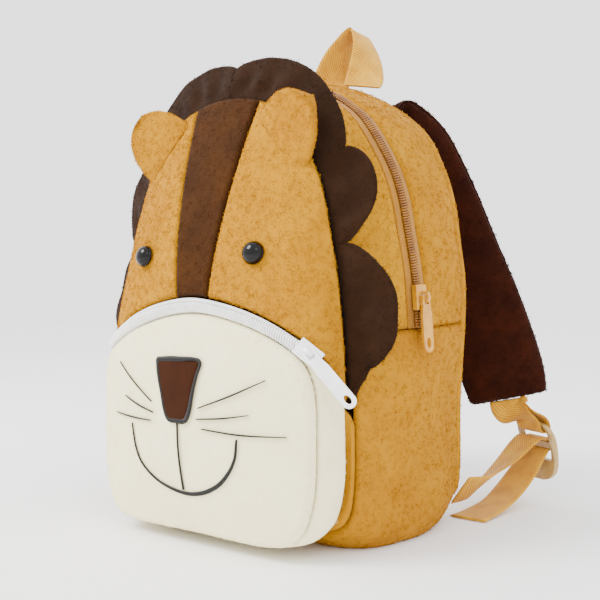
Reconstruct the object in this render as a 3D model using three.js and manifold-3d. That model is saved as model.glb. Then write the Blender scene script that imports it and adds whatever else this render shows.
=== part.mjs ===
// Plush lion toddler backpack, in millimetres. The face looks along -Y and +Z is up.
// The origin is the middle of the flat patch of the bottom that the bag stands on.
import * as THREE from "three";
import { mergeVertices } from "three/addons/utils/BufferGeometryUtils.js";
import Module from "manifold-3d";

const wasm = await Module();
wasm.setup();

// Main body
const frontHeight = 252;
const frontHalfWidth = 85;
const backHeight = 276;
const backHalfWidth = 91.5;
const frontSeamY = -54;
const backSeamY = 51;
const bottomFrontRise = 10;
const bottomBackRise = 9;
const sideBulge = 8;
const bottomBulge = 19;
const clothWall = 3;
const seamGap = 0.4;
const backPadding = 8;
const backDome = 5;

// Face and muzzle pocket
const faceRimY = -60;
const faceDepth = 29.5;
const muzzleHeight = 128;
const muzzleHalfWidth = 84.5;
const muzzleSeamY = -89;
const muzzleDome = 10.5;
const muzzleBulge = 3.5;
const frontPanelY = -57.4;
const eyeDiameter = 12;
const eyeSpacing = 82;
const eyeHeight = 161;
const noseTopWidth = 32;
const noseBottomWidth = 14;
const noseTopHeight = 104;
const noseBottomHeight = 71;
const noseThickness = 1.2;

// Ears and mane
const earWidth = 44;
const earReach = 27;
const earThickness = 13;
const earRoot = 4;
const earCup = 5;
const earAcross = 0.23;
const earRise = 0.92;
const earSetBack = 1;
const maneThickness = 2.4;
const maneReach = 26;
const maneLean = 0.32;

// Zips
const mainZipOpening = 17;
const mainZipPlace = 0.47;
const tapeThickness = 1;
const tapeSink = 1.4;
const coilWidth = 6;
const coilHeight = 2.2;
const pocketCoilLift = 0.6;
const mainSliderRow = 7.62;
const pocketSliderRow = 7;
const sliderLength = 14;
const sliderWidth = 9.4;
const sliderPlate = 1.5;
const crownBore = 1.8;
const crownWall = 1.3;
const crownWidth = 2.2;
const pullThickness = 1.6;
const mainPullLength = 31;
const mainPullWidth = 8.6;
const pocketPullLength = 36;
const pocketPullWidth = 7.6;
const pocketPullSwing = -11;

// Webbing, shoulder pads and buckles
const webWidth = 25;
const webThickness = 1.6;
const handleHeight = 41;
const handleSpread = 13.5;
const handleBackLean = 17;
const handleSeat = 0.85;
const padWidth = 58;
const padThickness = 14;
const padStandOff = 56;
const padSeat = 3;
const buckleWidth = 34;
const buckleTopBar = 5;
const buckleTab = 13;
const buckleCurve = 4;
const buckleThickness = 3.4;
const buckleSlotWidth = 27.6;
const buckleSlotHeight = 8;
const buckleBar = 4.4;
const buckleCorner = 9;
const buckleDrop = new THREE.Vector3(14, 10, -30);
const buckleAlong = new THREE.Vector3(0.88, -0.47, 0);
const buckleUp = new THREE.Vector3(-0.12, -0.1, 1);

const colours = {
  gold: 0xd9a64c,
  brown: 0x8a5a2c,
  darkBrown: 0x4b3226,
  padBrown: 0x4f2013,
  cream: 0xf0ead4,
  black: 0x141010,
  webbing: 0xe0b867,
  zip: 0xc8923f,
  white: 0xf4f4f2,
  buckle: 0xbfb48c,
};

// Outline of the body, one row for each place round the seam, from the middle of the bottom (first)
// to the middle of the top (last). Widths are shares of the half widths and heights run from the
// bottom seam (0) to the top (1). swell is a share of the side bulge.
const bodyRows = [
  { frontX: 0, frontZ: 0, backX: 0, backZ: 0, swell: 1 },
  { frontX: 0.53, frontZ: 0, backX: 0.55, backZ: 0, swell: 1 },
  { frontX: 0.82, frontZ: 0.01, backX: 0.83, backZ: 0.006, swell: 1 },
  { frontX: 0.955, frontZ: 0.045, backX: 0.94, backZ: 0.035, swell: 1 },
  { frontX: 0.997, frontZ: 0.12, backX: 0.965, backZ: 0.105, swell: 1 },
  { frontX: 1, frontZ: 0.234, backX: 0.967, backZ: 0.236, swell: 1 },
  { frontX: 0.988, frontZ: 0.353, backX: 0.984, backZ: 0.341, swell: 1 },
  { frontX: 0.971, frontZ: 0.447, backX: 1, backZ: 0.423, swell: 1 },
  { frontX: 0.929, frontZ: 0.566, backX: 1, backZ: 0.52, swell: 1 },
  { frontX: 0.871, frontZ: 0.677, backX: 0.967, backZ: 0.603, swell: 0.95 },
  { frontX: 0.794, frontZ: 0.783, backX: 0.923, backZ: 0.7, swell: 0.9 },
  { frontX: 0.659, frontZ: 0.87, backX: 0.842, backZ: 0.783, swell: 0.85 },
  { frontX: 0.459, frontZ: 0.953, backX: 0.689, backZ: 0.873, swell: 0.8 },
  { frontX: 0.235, frontZ: 0.989, backX: 0.372, backZ: 0.955, swell: 0.75 },
  { frontX: 0, frontZ: 1, backX: 0, backZ: 1, swell: 0.75 },
];
const topRow = bodyRows.length - 1;
const sideSeamRow = 7;

// Outline of the muzzle pocket, from the middle of its bottom to the middle of its arch: the seam of
// its front, and its base on the bag. curve is how far the seam bends back and depth how far the base
// stands forward, both as shares of the face's depth.
const muzzleRows = [
  { seamX: 0, seamZ: 0.06, curve: 0.04, baseX: 0, baseZ: 0.1, depth: 0 },
  { seamX: 0.6, seamZ: 0.06, curve: 0.06, baseX: 0.68, baseZ: 0.1, depth: 0 },
  { seamX: 0.82, seamZ: 0.11, curve: 0.14, baseX: 0.9, baseZ: 0.15, depth: 0 },
  { seamX: 0.915, seamZ: 0.27, curve: 0.2, baseX: 0.985, baseZ: 0.31, depth: 0 },
  { seamX: 0.935, seamZ: 0.5, curve: 0.2, baseX: 0.99, baseZ: 0.5, depth: 0 },
  { seamX: 0.925, seamZ: 0.68, curve: 0.2, baseX: 0.99, baseZ: 0.66, depth: 0.06 },
  { seamX: 0.89, seamZ: 0.775, curve: 0.16, baseX: 0.975, baseZ: 0.77, depth: 0.3 },
  { seamX: 0.82, seamZ: 0.835, curve: 0.12, baseX: 0.9, baseZ: 0.86, depth: 0.56 },
  { seamX: 0.64, seamZ: 0.906, curve: 0.05, baseX: 0.686, baseZ: 0.956, depth: 0.84 },
  { seamX: 0.44, seamZ: 0.956, curve: 0.02, baseX: 0.469, baseZ: 1.015, depth: 0.95 },
  { seamX: 0.218, seamZ: 0.992, curve: 0, baseX: 0.228, baseZ: 1.054, depth: 1 },
  { seamX: 0, seamZ: 1.005, curve: 0, baseX: 0, baseZ: 1.07, depth: 1 },
];
const archRow = muzzleRows.length - 1;
const pocketZipRow = 6.8;
const faceStartRow = 5;
const seamStartRow = 5.4;
const stripeShare = 0.1;
const rimFan = 0.86;

// Lobes of the mane on one side, between rows of the body seam. rootFrom and rootTo are the reach left
// at the notches at its ends and crest what the lobe adds between them, as shares of the mane's reach.
const maneLobes = [
  { from: 14, to: 10.5, rootFrom: 0.72, rootTo: 0.62, crest: 0.36 },
  { from: 10.5, to: 8.7, rootFrom: 0.62, rootTo: 0.14, crest: 0.6 },
  { from: 8.7, to: 6.2, rootFrom: 0.14, rootTo: 0.36, crest: 0.8 },
  { from: 6.2, to: 5.6, rootFrom: 0.36, rootTo: 0.05, crest: 0 },
];

// Middle line of the right shoulder pad from its sewn end down. side is a share of the back half
// width, out a share of the pad's stand-off past its seat and height a share of the body height.
// turn is the angle of its width from the X axis, in degrees; broad and thick are shares of the
// pad's width and thickness.
const padRows = [
  { side: 0.29, out: 0.075, height: 0.94, turn: 0, broad: 0.6, thick: 0.3 },
  { side: 0.33, out: 0.18, height: 0.93, turn: 0, broad: 0.74, thick: 0.8 },
  { side: 0.43, out: 0.4, height: 0.86, turn: 3, broad: 0.92, thick: 1 },
  { side: 0.55, out: 0.6, height: 0.73, turn: 7, broad: 1, thick: 1 },
  { side: 0.68, out: 0.73, height: 0.6, turn: 11, broad: 1, thick: 1 },
  { side: 0.83, out: 0.86, height: 0.46, turn: 15, broad: 1, thick: 1 },
  { side: 0.95, out: 0.98, height: 0.32, turn: 18, broad: 1, thick: 1 },
  { side: 0.995, out: 1.02, height: 0.25, turn: 18, broad: 0.92, thick: 0.8 },
];

// Hand loop from its left foot to its right foot, as shares of its spread, lean and height; turn is
// the angle of its width from the X axis, in degrees.
const handleRows = [
  { side: -0.9, back: 0, rise: 0, turn: 24 },
  { side: -0.86, back: 0.22, rise: 0.25, turn: 52 },
  { side: -0.55, back: 0.62, rise: 0.7, turn: 84 },
  { side: 0.05, back: 0.95, rise: 1, turn: 96 },
  { side: 0.68, back: 0.8, rise: 0.7, turn: 84 },
  { side: 1.05, back: 0.35, rise: 0.25, turn: 54 },
  { side: 1.1, back: 0, rise: 0, turn: 24 },
];

// Middle line of the right lower strap on both sides of its buckle, in the pad's shares. turn is the
// angle of its width from the X axis and rise the angle from level, in degrees.
const strapRows = [
  { band: "fixed", side: 0.94, out: -0.02, height: 0.06, turn: 0, rise: 50 },
  { band: "fixed", side: 0.985, out: 0.26, height: 0.06, turn: -5, rise: 45 },
  { band: "fixed", side: 0.985, out: 0.55, height: 0.075, turn: -15, rise: 30 },
  { band: "fixed", side: 1.02, out: 0.82, height: 0.1, turn: -24, rise: 15 },
  { band: "tail", side: 1.11, out: 1.03, height: 0.079, turn: -22, rise: 0 },
  { band: "tail", side: 1.075, out: 0.84, height: 0.046, turn: -12, rise: 5 },
  { band: "tail", side: 1.055, out: 0.56, height: 0.021, turn: -4, rise: 8 },
  { band: "tail", side: 1.03, out: 0.26, height: 0.008, turn: 0, rise: 4 },
  { band: "tail", side: 1.02, out: -0.1, height: 0.004, turn: 0, rise: 0 },
];

const lerp = THREE.MathUtils.lerp;
const vec = (x, y, z) => new THREE.Vector3(x, y, z);

// Uniform Catmull-Rom value of one column at a place between the rows of a table.
function cubic(a, b, c, d, t) {
  const slopeB = (c - a) / 2;
  const slopeC = (d - b) / 2;
  const square = t * t;
  const cube = square * t;
  return (
    (2 * cube - 3 * square + 1) * b +
    (cube - 2 * square + t) * slopeB +
    (3 * square - 2 * cube) * c +
    (cube - square) * slopeC
  );
}

// Reads a half outline all the way round: places below 0 and past the last row are on the left side.
function roundTheLoop(rows, place, sideways) {
  const last = rows.length - 1;
  const column = (name, index) => {
    const mirrored = index < 0 || index > last;
    const folded = index < 0 ? -index : index > last ? 2 * last - index : index;
    const sign = mirrored && sideways.includes(name) ? -1 : 1;
    return sign * rows[Math.min(Math.max(folded, 0), last)][name];
  };
  const onLeft = place < 0 || place > last;
  const folded = place < 0 ? -place : place > last ? 2 * last - place : place;
  const index = Math.min(Math.floor(folded), last - 1);
  const row = {};
  for (const name of Object.keys(rows[0])) {
    const near = [-1, 0, 1, 2].map((step) => column(name, index + step));
    const value = cubic(...near, folded - index);
    row[name] = onLeft && sideways.includes(name) ? -value : value;
  }
  return row;
}

// Reads an open table, such as the middle line of a pad, at a place between its rows.
function alongRows(rows, place) {
  const last = rows.length - 1;
  const index = Math.min(Math.floor(place), last - 1);
  const row = {};
  for (const name of Object.keys(rows[0])) {
    const near = [-1, 0, 1, 2].map((step) => {
      return rows[Math.min(Math.max(index + step, 0), last)][name];
    });
    row[name] = cubic(...near, place - index);
  }
  return row;
}

function bodyOutline(place, share) {
  const row = roundTheLoop(bodyRows, place, ["frontX", "backX"]);
  const frontZ = lerp(bottomFrontRise, frontHeight, row.frontZ);
  const backZ = lerp(bottomBackRise, backHeight, row.backZ);
  return {
    x: lerp(row.frontX * frontHalfWidth, row.backX * backHalfWidth, share),
    z: lerp(frontZ, backZ, share),
    swell: row.swell,
  };
}

// Outward direction of the body outline, in the XZ plane.
function outlineOutward(place, share) {
  const step = 0.05;
  const before = bodyOutline(place - step, share);
  const after = bodyOutline(place + step, share);
  return vec(after.z - before.z, 0, before.x - after.x).normalize();
}

// The stuffed side of the bag: place runs round the seam, share from the front seam to the back.
function bodySkin(place, share) {
  const { x, z, swell } = bodyOutline(place, share);
  const out = outlineOutward(place, share);
  const arc = Math.sin(Math.PI * Math.min(Math.max(share, 0), 1)) ** 0.6;
  const down = Math.max(0, -out.z);
  const push = arc * (sideBulge * swell * (1 - down) + bottomBulge * down);
  const y = lerp(frontSeamY + seamGap, backSeamY, share);
  return vec(x + out.x * push, y, Math.max(z + out.z * push, 0));
}

// Edge between the face and the muzzle pocket: across is -1 at the left end and 1 at the right.
function archPoint(across) {
  const place = archRow - Math.abs(across) * (archRow - faceStartRow);
  const row = roundTheLoop(muzzleRows, place, ["seamX", "baseX"]);
  const side = across < 0 ? -1 : 1;
  const x = side * row.baseX * muzzleHalfWidth;
  return vec(x, faceRimY - row.depth * faceDepth, row.baseZ * muzzleHeight);
}

// Place on the body seam where a line of the face ends; the lines fan out towards the top.
function rimPlace(across) {
  return topRow - Math.abs(across) ** rimFan * (topRow - seamStartRow);
}

// Domed face: rise is 0 on the muzzle's arch and 1 on the body seam.
function faceSkin(across, rise) {
  const arch = archPoint(across);
  const rim = bodyOutline(rimPlace(across), 0);
  const side = across < 0 ? -1 : 1;
  const height = Math.max(rise, 0) ** 1.6;
  const depth = (faceRimY - arch.y) * (1 - height);
  return vec(
    lerp(arch.x, side * rim.x, rise),
    faceRimY - depth,
    lerp(arch.z, rim.z, rise),
  );
}

// Flat cloth behind the muzzle pocket, from under its arch down to the bottom seam.
function frontPanelSkin(across, drop) {
  const arch = archPoint(across);
  const step = 0.01;
  const along = archPoint(across + step).sub(archPoint(across - step));
  const inward = vec(along.z, 0, -along.x).normalize();
  arch.addScaledVector(inward, clothWall + 2 * seamGap);
  const rim = bodyOutline(across * (seamStartRow - 0.2), 0);
  const reach = (frontPanelY - arch.y - clothWall) * (1 - drop) ** 3;
  return vec(
    lerp(arch.x, rim.x, drop),
    frontPanelY - Math.max(reach, 0),
    lerp(arch.z, rim.z, drop),
  );
}

// Side and zip band of the muzzle pocket: share is 0 at its front seam and 1 on the bag.
function muzzleSide(place, share) {
  const row = roundTheLoop(muzzleRows, place, ["seamX", "baseX"]);
  const x = lerp(row.seamX, row.baseX, share) * muzzleHalfWidth;
  const z = lerp(row.seamZ, row.baseZ, share) * muzzleHeight;
  const baseY = Math.min(frontPanelY - seamGap, faceRimY - row.depth * faceDepth);
  const seamY = muzzleSeamY + row.curve * faceDepth + clothWall + seamGap;
  const clear = 1.5 * seamGap * Math.min(4 * row.depth, 1);
  const y = lerp(seamY, baseY - clear, share);
  const room = Math.abs(baseY - muzzleSeamY) / (faceRimY - muzzleSeamY);
  const push = muzzleBulge * Math.min(room, 1) * Math.sin(Math.PI * Math.min(Math.max(share, 0), 1));
  const out = vec(x / muzzleHalfWidth, 0, (z / muzzleHeight - 0.55) * 1.2).normalize();
  return vec(x + out.x * push, y, z + out.z * push);
}

// Domed front of the muzzle: ring is 0 in the middle and 1 on its seam.
const muzzleMiddle = { x: 0, z: muzzleHeight * 0.68 };
function muzzleFront(place, ring) {
  const row = roundTheLoop(muzzleRows, place, ["seamX", "baseX"]);
  const x = lerp(muzzleMiddle.x, row.seamX * muzzleHalfWidth, ring);
  const z = lerp(muzzleMiddle.z, row.seamZ * muzzleHeight, ring);
  const bend = row.curve * faceDepth * ring * ring;
  return vec(x, muzzleSeamY + bend - muzzleDome * (1 - Math.abs(ring) ** 2.4), z);
}

// Outward direction of a skin. The face is laid out left to right and up, so that its two shares
// turn the other way round from those of the skins that go round a loop.
function outwardOf(skin, u, v, stepU, stepV) {
  const alongU = skin(u + stepU, v).sub(skin(u - stepU, v));
  const alongV = skin(u, v + stepV).sub(skin(u, v - stepV));
  const turned = alongU.cross(alongV).normalize();
  return skin === faceSkin ? turned : turned.negate();
}

function geometryOf(positions, triangles) {
  const geometry = new THREE.BufferGeometry();
  geometry.setAttribute("position", new THREE.Float32BufferAttribute(positions, 3));
  geometry.setIndex(triangles);
  return facingOut(geometry);
}

// Turns the faces round where the closed surface came out inside out.
function facingOut(geometry) {
  const at = geometry.getAttribute("position");
  const index = geometry.getIndex().array;
  const corner = (n) => vec(at.getX(n), at.getY(n), at.getZ(n));
  let volume = 0;
  for (let i = 0; i < index.length; i += 3) {
    const cross = corner(index[i + 1]).cross(corner(index[i + 2]));
    volume += corner(index[i]).dot(cross);
  }
  if (volume < 0) {
    for (let i = 0; i < index.length; i += 3) {
      [index[i + 1], index[i + 2]] = [index[i + 2], index[i + 1]];
    }
  }
  return geometry;
}

// A closed sheet between two grids of points, each given by a function of two shares from 0 to 1.
function sheetBetween(outer, inner, stepsU, stepsV, spread = (share) => share) {
  const positions = [];
  const rowLength = stepsV + 1;
  const layer = (stepsU + 1) * rowLength;
  for (const skin of [outer, inner]) {
    for (let i = 0; i <= stepsU; i += 1) {
      for (let j = 0; j <= stepsV; j += 1) {
        positions.push(...skin(spread(i / stepsU), j / stepsV).toArray());
      }
    }
  }
  const triangles = [];
  const quad = (a, b, c, d) => triangles.push(a, b, c, a, c, d);
  for (let i = 0; i < stepsU; i += 1) {
    for (let j = 0; j < stepsV; j += 1) {
      const a = i * rowLength + j;
      quad(a, a + rowLength, a + rowLength + 1, a + 1);
      quad(layer + a, layer + a + 1, layer + a + rowLength + 1, layer + a + rowLength);
    }
  }
  const rim = [];
  for (let i = 0; i < stepsU; i += 1) rim.push(i * rowLength);
  for (let j = 0; j < stepsV; j += 1) rim.push(stepsU * rowLength + j);
  for (let i = stepsU; i > 0; i -= 1) rim.push(i * rowLength + stepsV);
  for (let j = stepsV; j > 0; j -= 1) rim.push(j);
  rim.forEach((a, n) => {
    const b = rim[(n + 1) % rim.length];
    quad(b, a, layer + a, layer + b);
  });
  return geometryOf(positions, triangles);
}

// A cloth panel cut from a skin between two places and two shares, its wall on the inner side of the
// skin; sink lowers its outer face.
function clothPanel(skin, { from, to, low, high, steps, wall, sink = 0 }) {
  const stepU = (to - from) / 200;
  const stepV = (high - low) / 200;
  const layer = (depth) => (a, b) => {
    const u = lerp(from, to, a);
    const v = lerp(low, high, b);
    return skin(u, v).addScaledVector(outwardOf(skin, u, v, stepU, stepV), -depth);
  };
  return sheetBetween(layer(sink), layer(sink + wall), steps[0], steps[1]);
}

// A closed round slab between two skins of a place round the loop and a ring share.
function ringSlab(outer, inner, loopLength, segments, rings) {
  const positions = [];
  const triangles = [];
  const layer = 1 + segments * rings;
  for (const skin of [outer, inner]) {
    positions.push(...skin(0, 0).toArray());
    for (let ring = 1; ring <= rings; ring += 1) {
      for (let n = 0; n < segments; n += 1) {
        const place = (n / segments) * loopLength - loopLength / 2;
        positions.push(...skin(place, ring / rings).toArray());
      }
    }
  }
  const at = (ring, n) => (ring === 0 ? 0 : 1 + (ring - 1) * segments + (n % segments));
  for (let n = 0; n < segments; n += 1) {
    triangles.push(0, at(1, n), at(1, n + 1));
    triangles.push(layer, layer + at(1, n + 1), layer + at(1, n));
    for (let ring = 1; ring < rings; ring += 1) {
      const [a, b, c, d] = [at(ring, n), at(ring + 1, n), at(ring + 1, n + 1), at(ring, n + 1)];
      triangles.push(a, b, c, a, c, d);
      triangles.push(layer + a, layer + c, layer + b, layer + a, layer + d, layer + c);
    }
    const [e, f] = [at(rings, n), at(rings, n + 1)];
    triangles.push(e, layer + e, layer + f, e, layer + f, f);
  }
  return geometryOf(positions, triangles);
}

// A closed bar swept along frames. Each frame has a point and its two cross directions; section
// gives the corners at a share of the way, as pairs along those directions.
function sweptBar(frames, section) {
  const positions = [];
  const triangles = [];
  const last = frames.length - 1;
  const count = section(0).length;
  frames.forEach((frame, i) => {
    for (const [across, up] of section(i / last)) {
      const corner = frame.point
        .clone()
        .addScaledVector(frame.across, across)
        .addScaledVector(frame.up, up);
      positions.push(...corner.toArray());
    }
  });
  for (let i = 0; i < last; i += 1) {
    for (let n = 0; n < count; n += 1) {
      const a = i * count + n;
      const b = i * count + ((n + 1) % count);
      triangles.push(a, b, b + count, a, b + count, a + count);
    }
  }
  for (const [base, order] of [
    [0, 1],
    [last * count, -1],
  ]) {
    const middle = positions.length / 3;
    const sum = vec(0, 0, 0);
    for (let n = 0; n < count; n += 1) sum.add(vec(...positions.slice((base + n) * 3, (base + n) * 3 + 3)));
    positions.push(...sum.divideScalar(count).toArray());
    for (let n = 0; n < count; n += 1) {
      const a = base + n;
      const b = base + ((n + 1) % count);
      triangles.push(middle, ...(order > 0 ? [b, a] : [a, b]));
    }
  }
  return geometryOf(positions, triangles);
}

// Frames along a curve whose width directions are given at each point.
function framesAlong(points, widths, steps) {
  const curve = new THREE.CatmullRomCurve3(points, false, "centripetal");
  const turns = new THREE.CatmullRomCurve3(widths, false, "centripetal");
  const frames = [];
  for (let i = 0; i <= steps; i += 1) {
    const tangent = curve.getTangent(i / steps);
    const across = turns.getPoint(i / steps);
    across.addScaledVector(tangent, -across.dot(tangent)).normalize();
    const up = tangent.clone().cross(across).normalize();
    frames.push({ point: curve.getPoint(i / steps), across, up });
  }
  return frames;
}

const strapSection = () => [
  [-webWidth / 2, -webThickness / 2],
  [webWidth / 2, -webThickness / 2],
  [webWidth / 2, webThickness / 2],
  [-webWidth / 2, webThickness / 2],
];

// The same piece on the other side of the bag.
function mirroredAcross(geometry) {
  const copy = weldedCopy(geometry).applyMatrix4(new THREE.Matrix4().makeScale(-1, 1, 1));
  return facingOut(copy);
}

// A copy that holds positions alone, with shared corners merged.
function weldedCopy(geometry) {
  const bare = geometry.clone();
  bare.deleteAttribute("normal");
  bare.deleteAttribute("uv");
  return mergeVertices(bare, 1e-4);
}

// Body panels. The strips, the tape and the coil of the main zip bend at the same places.
const zipSteps = 28;
function zipStrip(low, high) {
  return clothPanel(bodySkin, {
    from: sideSeamRow + 0.01,
    to: 2 * topRow - sideSeamRow - 0.01,
    low,
    high,
    steps: [zipSteps, 3],
    wall: clothWall,
  });
}

function lowerGusset() {
  return clothPanel(bodySkin, {
    from: -sideSeamRow + 0.01,
    to: sideSeamRow - 0.01,
    low: 0,
    high: 1,
    steps: [36, 6],
    wall: clothWall,
  });
}

function backPanel() {
  const middleZ = backHeight / 2;
  const layer = (base, dome) => (place, ring) => {
    const { x, z } = bodyOutline(place, 1);
    const lift = dome * (1 - ring ** 3);
    return vec(x * ring, base + lift, lerp(middleZ, z, ring));
  };
  const inside = backSeamY + seamGap;
  return ringSlab(layer(inside + backPadding, backDome), layer(inside, 0), 2 * topRow, 36, 4);
}

// The right half of the face runs from the stripe to the muzzle pocket's corner.
const stripeGap = 0.0022;
const faceSpan = [stripeShare + stripeGap, 0.983];
function facePanel(from, to, { wall = clothWall, sink = 0, high = 0.998 } = {}) {
  return clothPanel(faceSkin, {
    from,
    to,
    low: 0.014,
    high,
    steps: [to - from > 3 * stripeShare ? 12 : 3, 9],
    wall,
    sink,
  });
}

function frontPanel() {
  return clothPanel(frontPanelSkin, {
    from: -0.985,
    to: 0.985,
    low: 0,
    high: 0.995,
    steps: [18, 5],
    wall: clothWall,
  });
}

// Muzzle pocket
function muzzleFrontPanel() {
  const inner = (place, ring) => {
    const point = muzzleFront(place, ring);
    point.y += clothWall;
    return point;
  };
  return ringSlab(muzzleFront, inner, 2 * archRow, 36, 5);
}

function muzzleGusset() {
  return clothPanel(muzzleSide, {
    from: -pocketZipRow,
    to: pocketZipRow,
    low: 0,
    high: 1,
    steps: [28, 3],
    wall: clothWall,
  });
}

const pocketZipSteps = 22;
function pocketTape() {
  return clothPanel(muzzleSide, {
    from: pocketZipRow + 0.03,
    to: 2 * archRow - pocketZipRow - 0.03,
    low: 0,
    high: 1,
    steps: [pocketZipSteps, 2],
    wall: tapeThickness,
  });
}

// Frame on a skin at a place: run goes down the zip, out away from the bag.
function frameOn(skin, place, share) {
  const step = 0.02;
  const point = skin(place, share);
  const out = outwardOf(skin, place, share, step, step / 4);
  const run = skin(place - step, share).sub(skin(place + step, share));
  run.addScaledVector(out, -run.dot(out)).normalize();
  return { point, out, run, across: run.clone().cross(out).normalize() };
}

function zipCoil(skin, share, from, to, steps, height) {
  const frames = [];
  for (let i = 0; i <= steps; i += 1) {
    const place = frameOn(skin, lerp(from, to, i / steps), share);
    const point = place.point.clone().addScaledVector(place.out, height);
    frames.push({ point, across: place.across, up: place.out });
  }
  const half = coilWidth / 2;
  return sweptBar(frames, () => [
    [-half, 0],
    [half, 0],
    [half, coilHeight * 0.55],
    [half * 0.45, coilHeight],
    [-half * 0.45, coilHeight],
    [-half, coilHeight * 0.55],
  ]);
}

function asManifold(geometry) {
  const merged = weldedCopy(geometry);
  return new wasm.Manifold(
    new wasm.Mesh({
      numProp: 3,
      vertProperties: new Float32Array(merged.getAttribute("position").array),
      triVerts: new Uint32Array(merged.getIndex().array),
    }),
  );
}

function joined(first, second) {
  return geometryFrom(asManifold(first).add(asManifold(second)));
}

// The body outside another one, without the crumbs that a cut leaves.
function withoutInside(body, cutter) {
  const pieces = asManifold(body).subtract(asManifold(cutter)).decompose();
  pieces.sort((a, b) => b.volume() - a.volume());
  return geometryFrom(pieces[0]);
}

function geometryFrom(solid) {
  const mesh = solid.getMesh();
  const geometry = new THREE.BufferGeometry();
  const positions = new THREE.BufferAttribute(Float32Array.from(mesh.vertProperties), 3);
  geometry.setAttribute("position", positions);
  geometry.setIndex(Array.from(mesh.triVerts));
  return geometry;
}

// The pull hinges this high over the slider's plate.
const hingeHeight = sliderPlate + 2;

// Slider in its own frame: X across the zip, Y down it, Z out. Its plate's inner face is at zero and
// two lips reach down beside the coil; the crown over it is a half ring round the hinge line.
function sliderBody(lipDepth) {
  const half = sliderWidth / 2;
  const lip = (sliderWidth - coilWidth) / 2 - 0.4;
  const profile = new THREE.Shape();
  profile.moveTo(-half, -lipDepth);
  profile.lineTo(-half + lip, -lipDepth);
  profile.lineTo(-half + lip, 0);
  profile.lineTo(half - lip, 0);
  profile.lineTo(half - lip, -lipDepth);
  profile.lineTo(half, -lipDepth);
  profile.lineTo(half, sliderPlate * 0.7);
  profile.lineTo(half - 1, sliderPlate);
  profile.lineTo(-half + 1, sliderPlate);
  profile.lineTo(-half, sliderPlate * 0.7);
  const plate = new THREE.ExtrudeGeometry(profile, { depth: sliderLength, bevelEnabled: false });
  plate.rotateX(Math.PI / 2);
  plate.translate(0, sliderLength / 2, 0);
  return joined(plate, crown());
}

function crown() {
  const outer = crownBore + crownWall;
  const arch = new THREE.Shape();
  arch.moveTo(outer, -hingeHeight + sliderPlate / 2);
  arch.lineTo(outer, 0);
  arch.absarc(0, 0, outer, 0, Math.PI, false);
  arch.lineTo(-outer, -hingeHeight + sliderPlate / 2);
  arch.lineTo(-crownBore, -hingeHeight + sliderPlate / 2);
  arch.lineTo(-crownBore, 0);
  arch.absarc(0, 0, crownBore, Math.PI, 0, true);
  arch.lineTo(crownBore, -hingeHeight + sliderPlate / 2);
  const settings = { depth: crownWidth, bevelEnabled: false, curveSegments: 5 };
  const ring = new THREE.ExtrudeGeometry(arch, settings);
  ring.translate(0, 0, -crownWidth / 2);
  ring.rotateX(Math.PI / 2);
  ring.rotateZ(Math.PI / 2);
  ring.translate(0, 0, hingeHeight);
  return ring;
}

// Pull tab in its own frame: the hinge line is its X axis and it hangs along +Y.
function pullTab(length, width) {
  const half = width / 2;
  const neck = half * 0.8;
  const bar = 0.8;
  const plate = new THREE.Shape();
  plate.moveTo(-neck, -bar);
  plate.lineTo(neck, -bar);
  plate.lineTo(neck, length * 0.18);
  plate.lineTo(half, length * 0.32);
  plate.lineTo(half, length - half);
  plate.absarc(0, length - half, half, 0, Math.PI, false);
  plate.lineTo(-half, length * 0.32);
  plate.lineTo(-neck, length * 0.18);
  plate.closePath();
  const slotHalf = crownWidth / 2 + 0.8;
  const slot = new THREE.Path();
  slot.moveTo(-slotHalf, bar);
  slot.lineTo(-slotHalf, crownBore + crownWall + 1.1);
  slot.lineTo(slotHalf, crownBore + crownWall + 1.1);
  slot.lineTo(slotHalf, bar);
  slot.closePath();
  const eye = new THREE.Path();
  eye.absellipse(0, length - half * 1.25, half * 0.42, half * 0.7, 0, 2 * Math.PI, true);
  plate.holes.push(slot, eye);
  const settings = { depth: pullThickness, bevelEnabled: false, curveSegments: 6 };
  return new THREE.ExtrudeGeometry(plate, settings).translate(0, 0, -pullThickness / 2);
}

// Puts a mesh into a frame whose axes are across, run and out.
function placeInFrame(mesh, frame, lift) {
  const basis = new THREE.Matrix4().makeBasis(frame.across, frame.run, frame.out);
  const point = frame.point.clone().addScaledVector(frame.out, lift);
  mesh.applyMatrix4(basis.setPosition(point));
}

// The same frame turned about its outward direction, as far as a pull swings on its crown.
function swungFrame(frame, degrees) {
  const swing = THREE.MathUtils.degToRad(degrees);
  const run = frame.run.clone().applyAxisAngle(frame.out, swing);
  const across = frame.across.clone().applyAxisAngle(frame.out, swing);
  return { point: frame.point, out: frame.out, run, across };
}

// Where a skin has a given x and z, found by stepping towards it.
function placeOver(skin, x, z, guess) {
  const step = 1e-3;
  let [u, v] = guess;
  for (let turn = 0; turn < 30; turn += 1) {
    const here = skin(u, v);
    const byU = skin(u + step, v).sub(here).divideScalar(step);
    const byV = skin(u, v + step).sub(here).divideScalar(step);
    const det = byU.x * byV.z - byV.x * byU.z;
    const [missX, missZ] = [x - here.x, z - here.z];
    u += (0.7 * (missX * byV.z - byV.x * missZ)) / det;
    v += (0.7 * (byU.x * missZ - missX * byU.z)) / det;
  }
  return [u, v];
}

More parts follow.
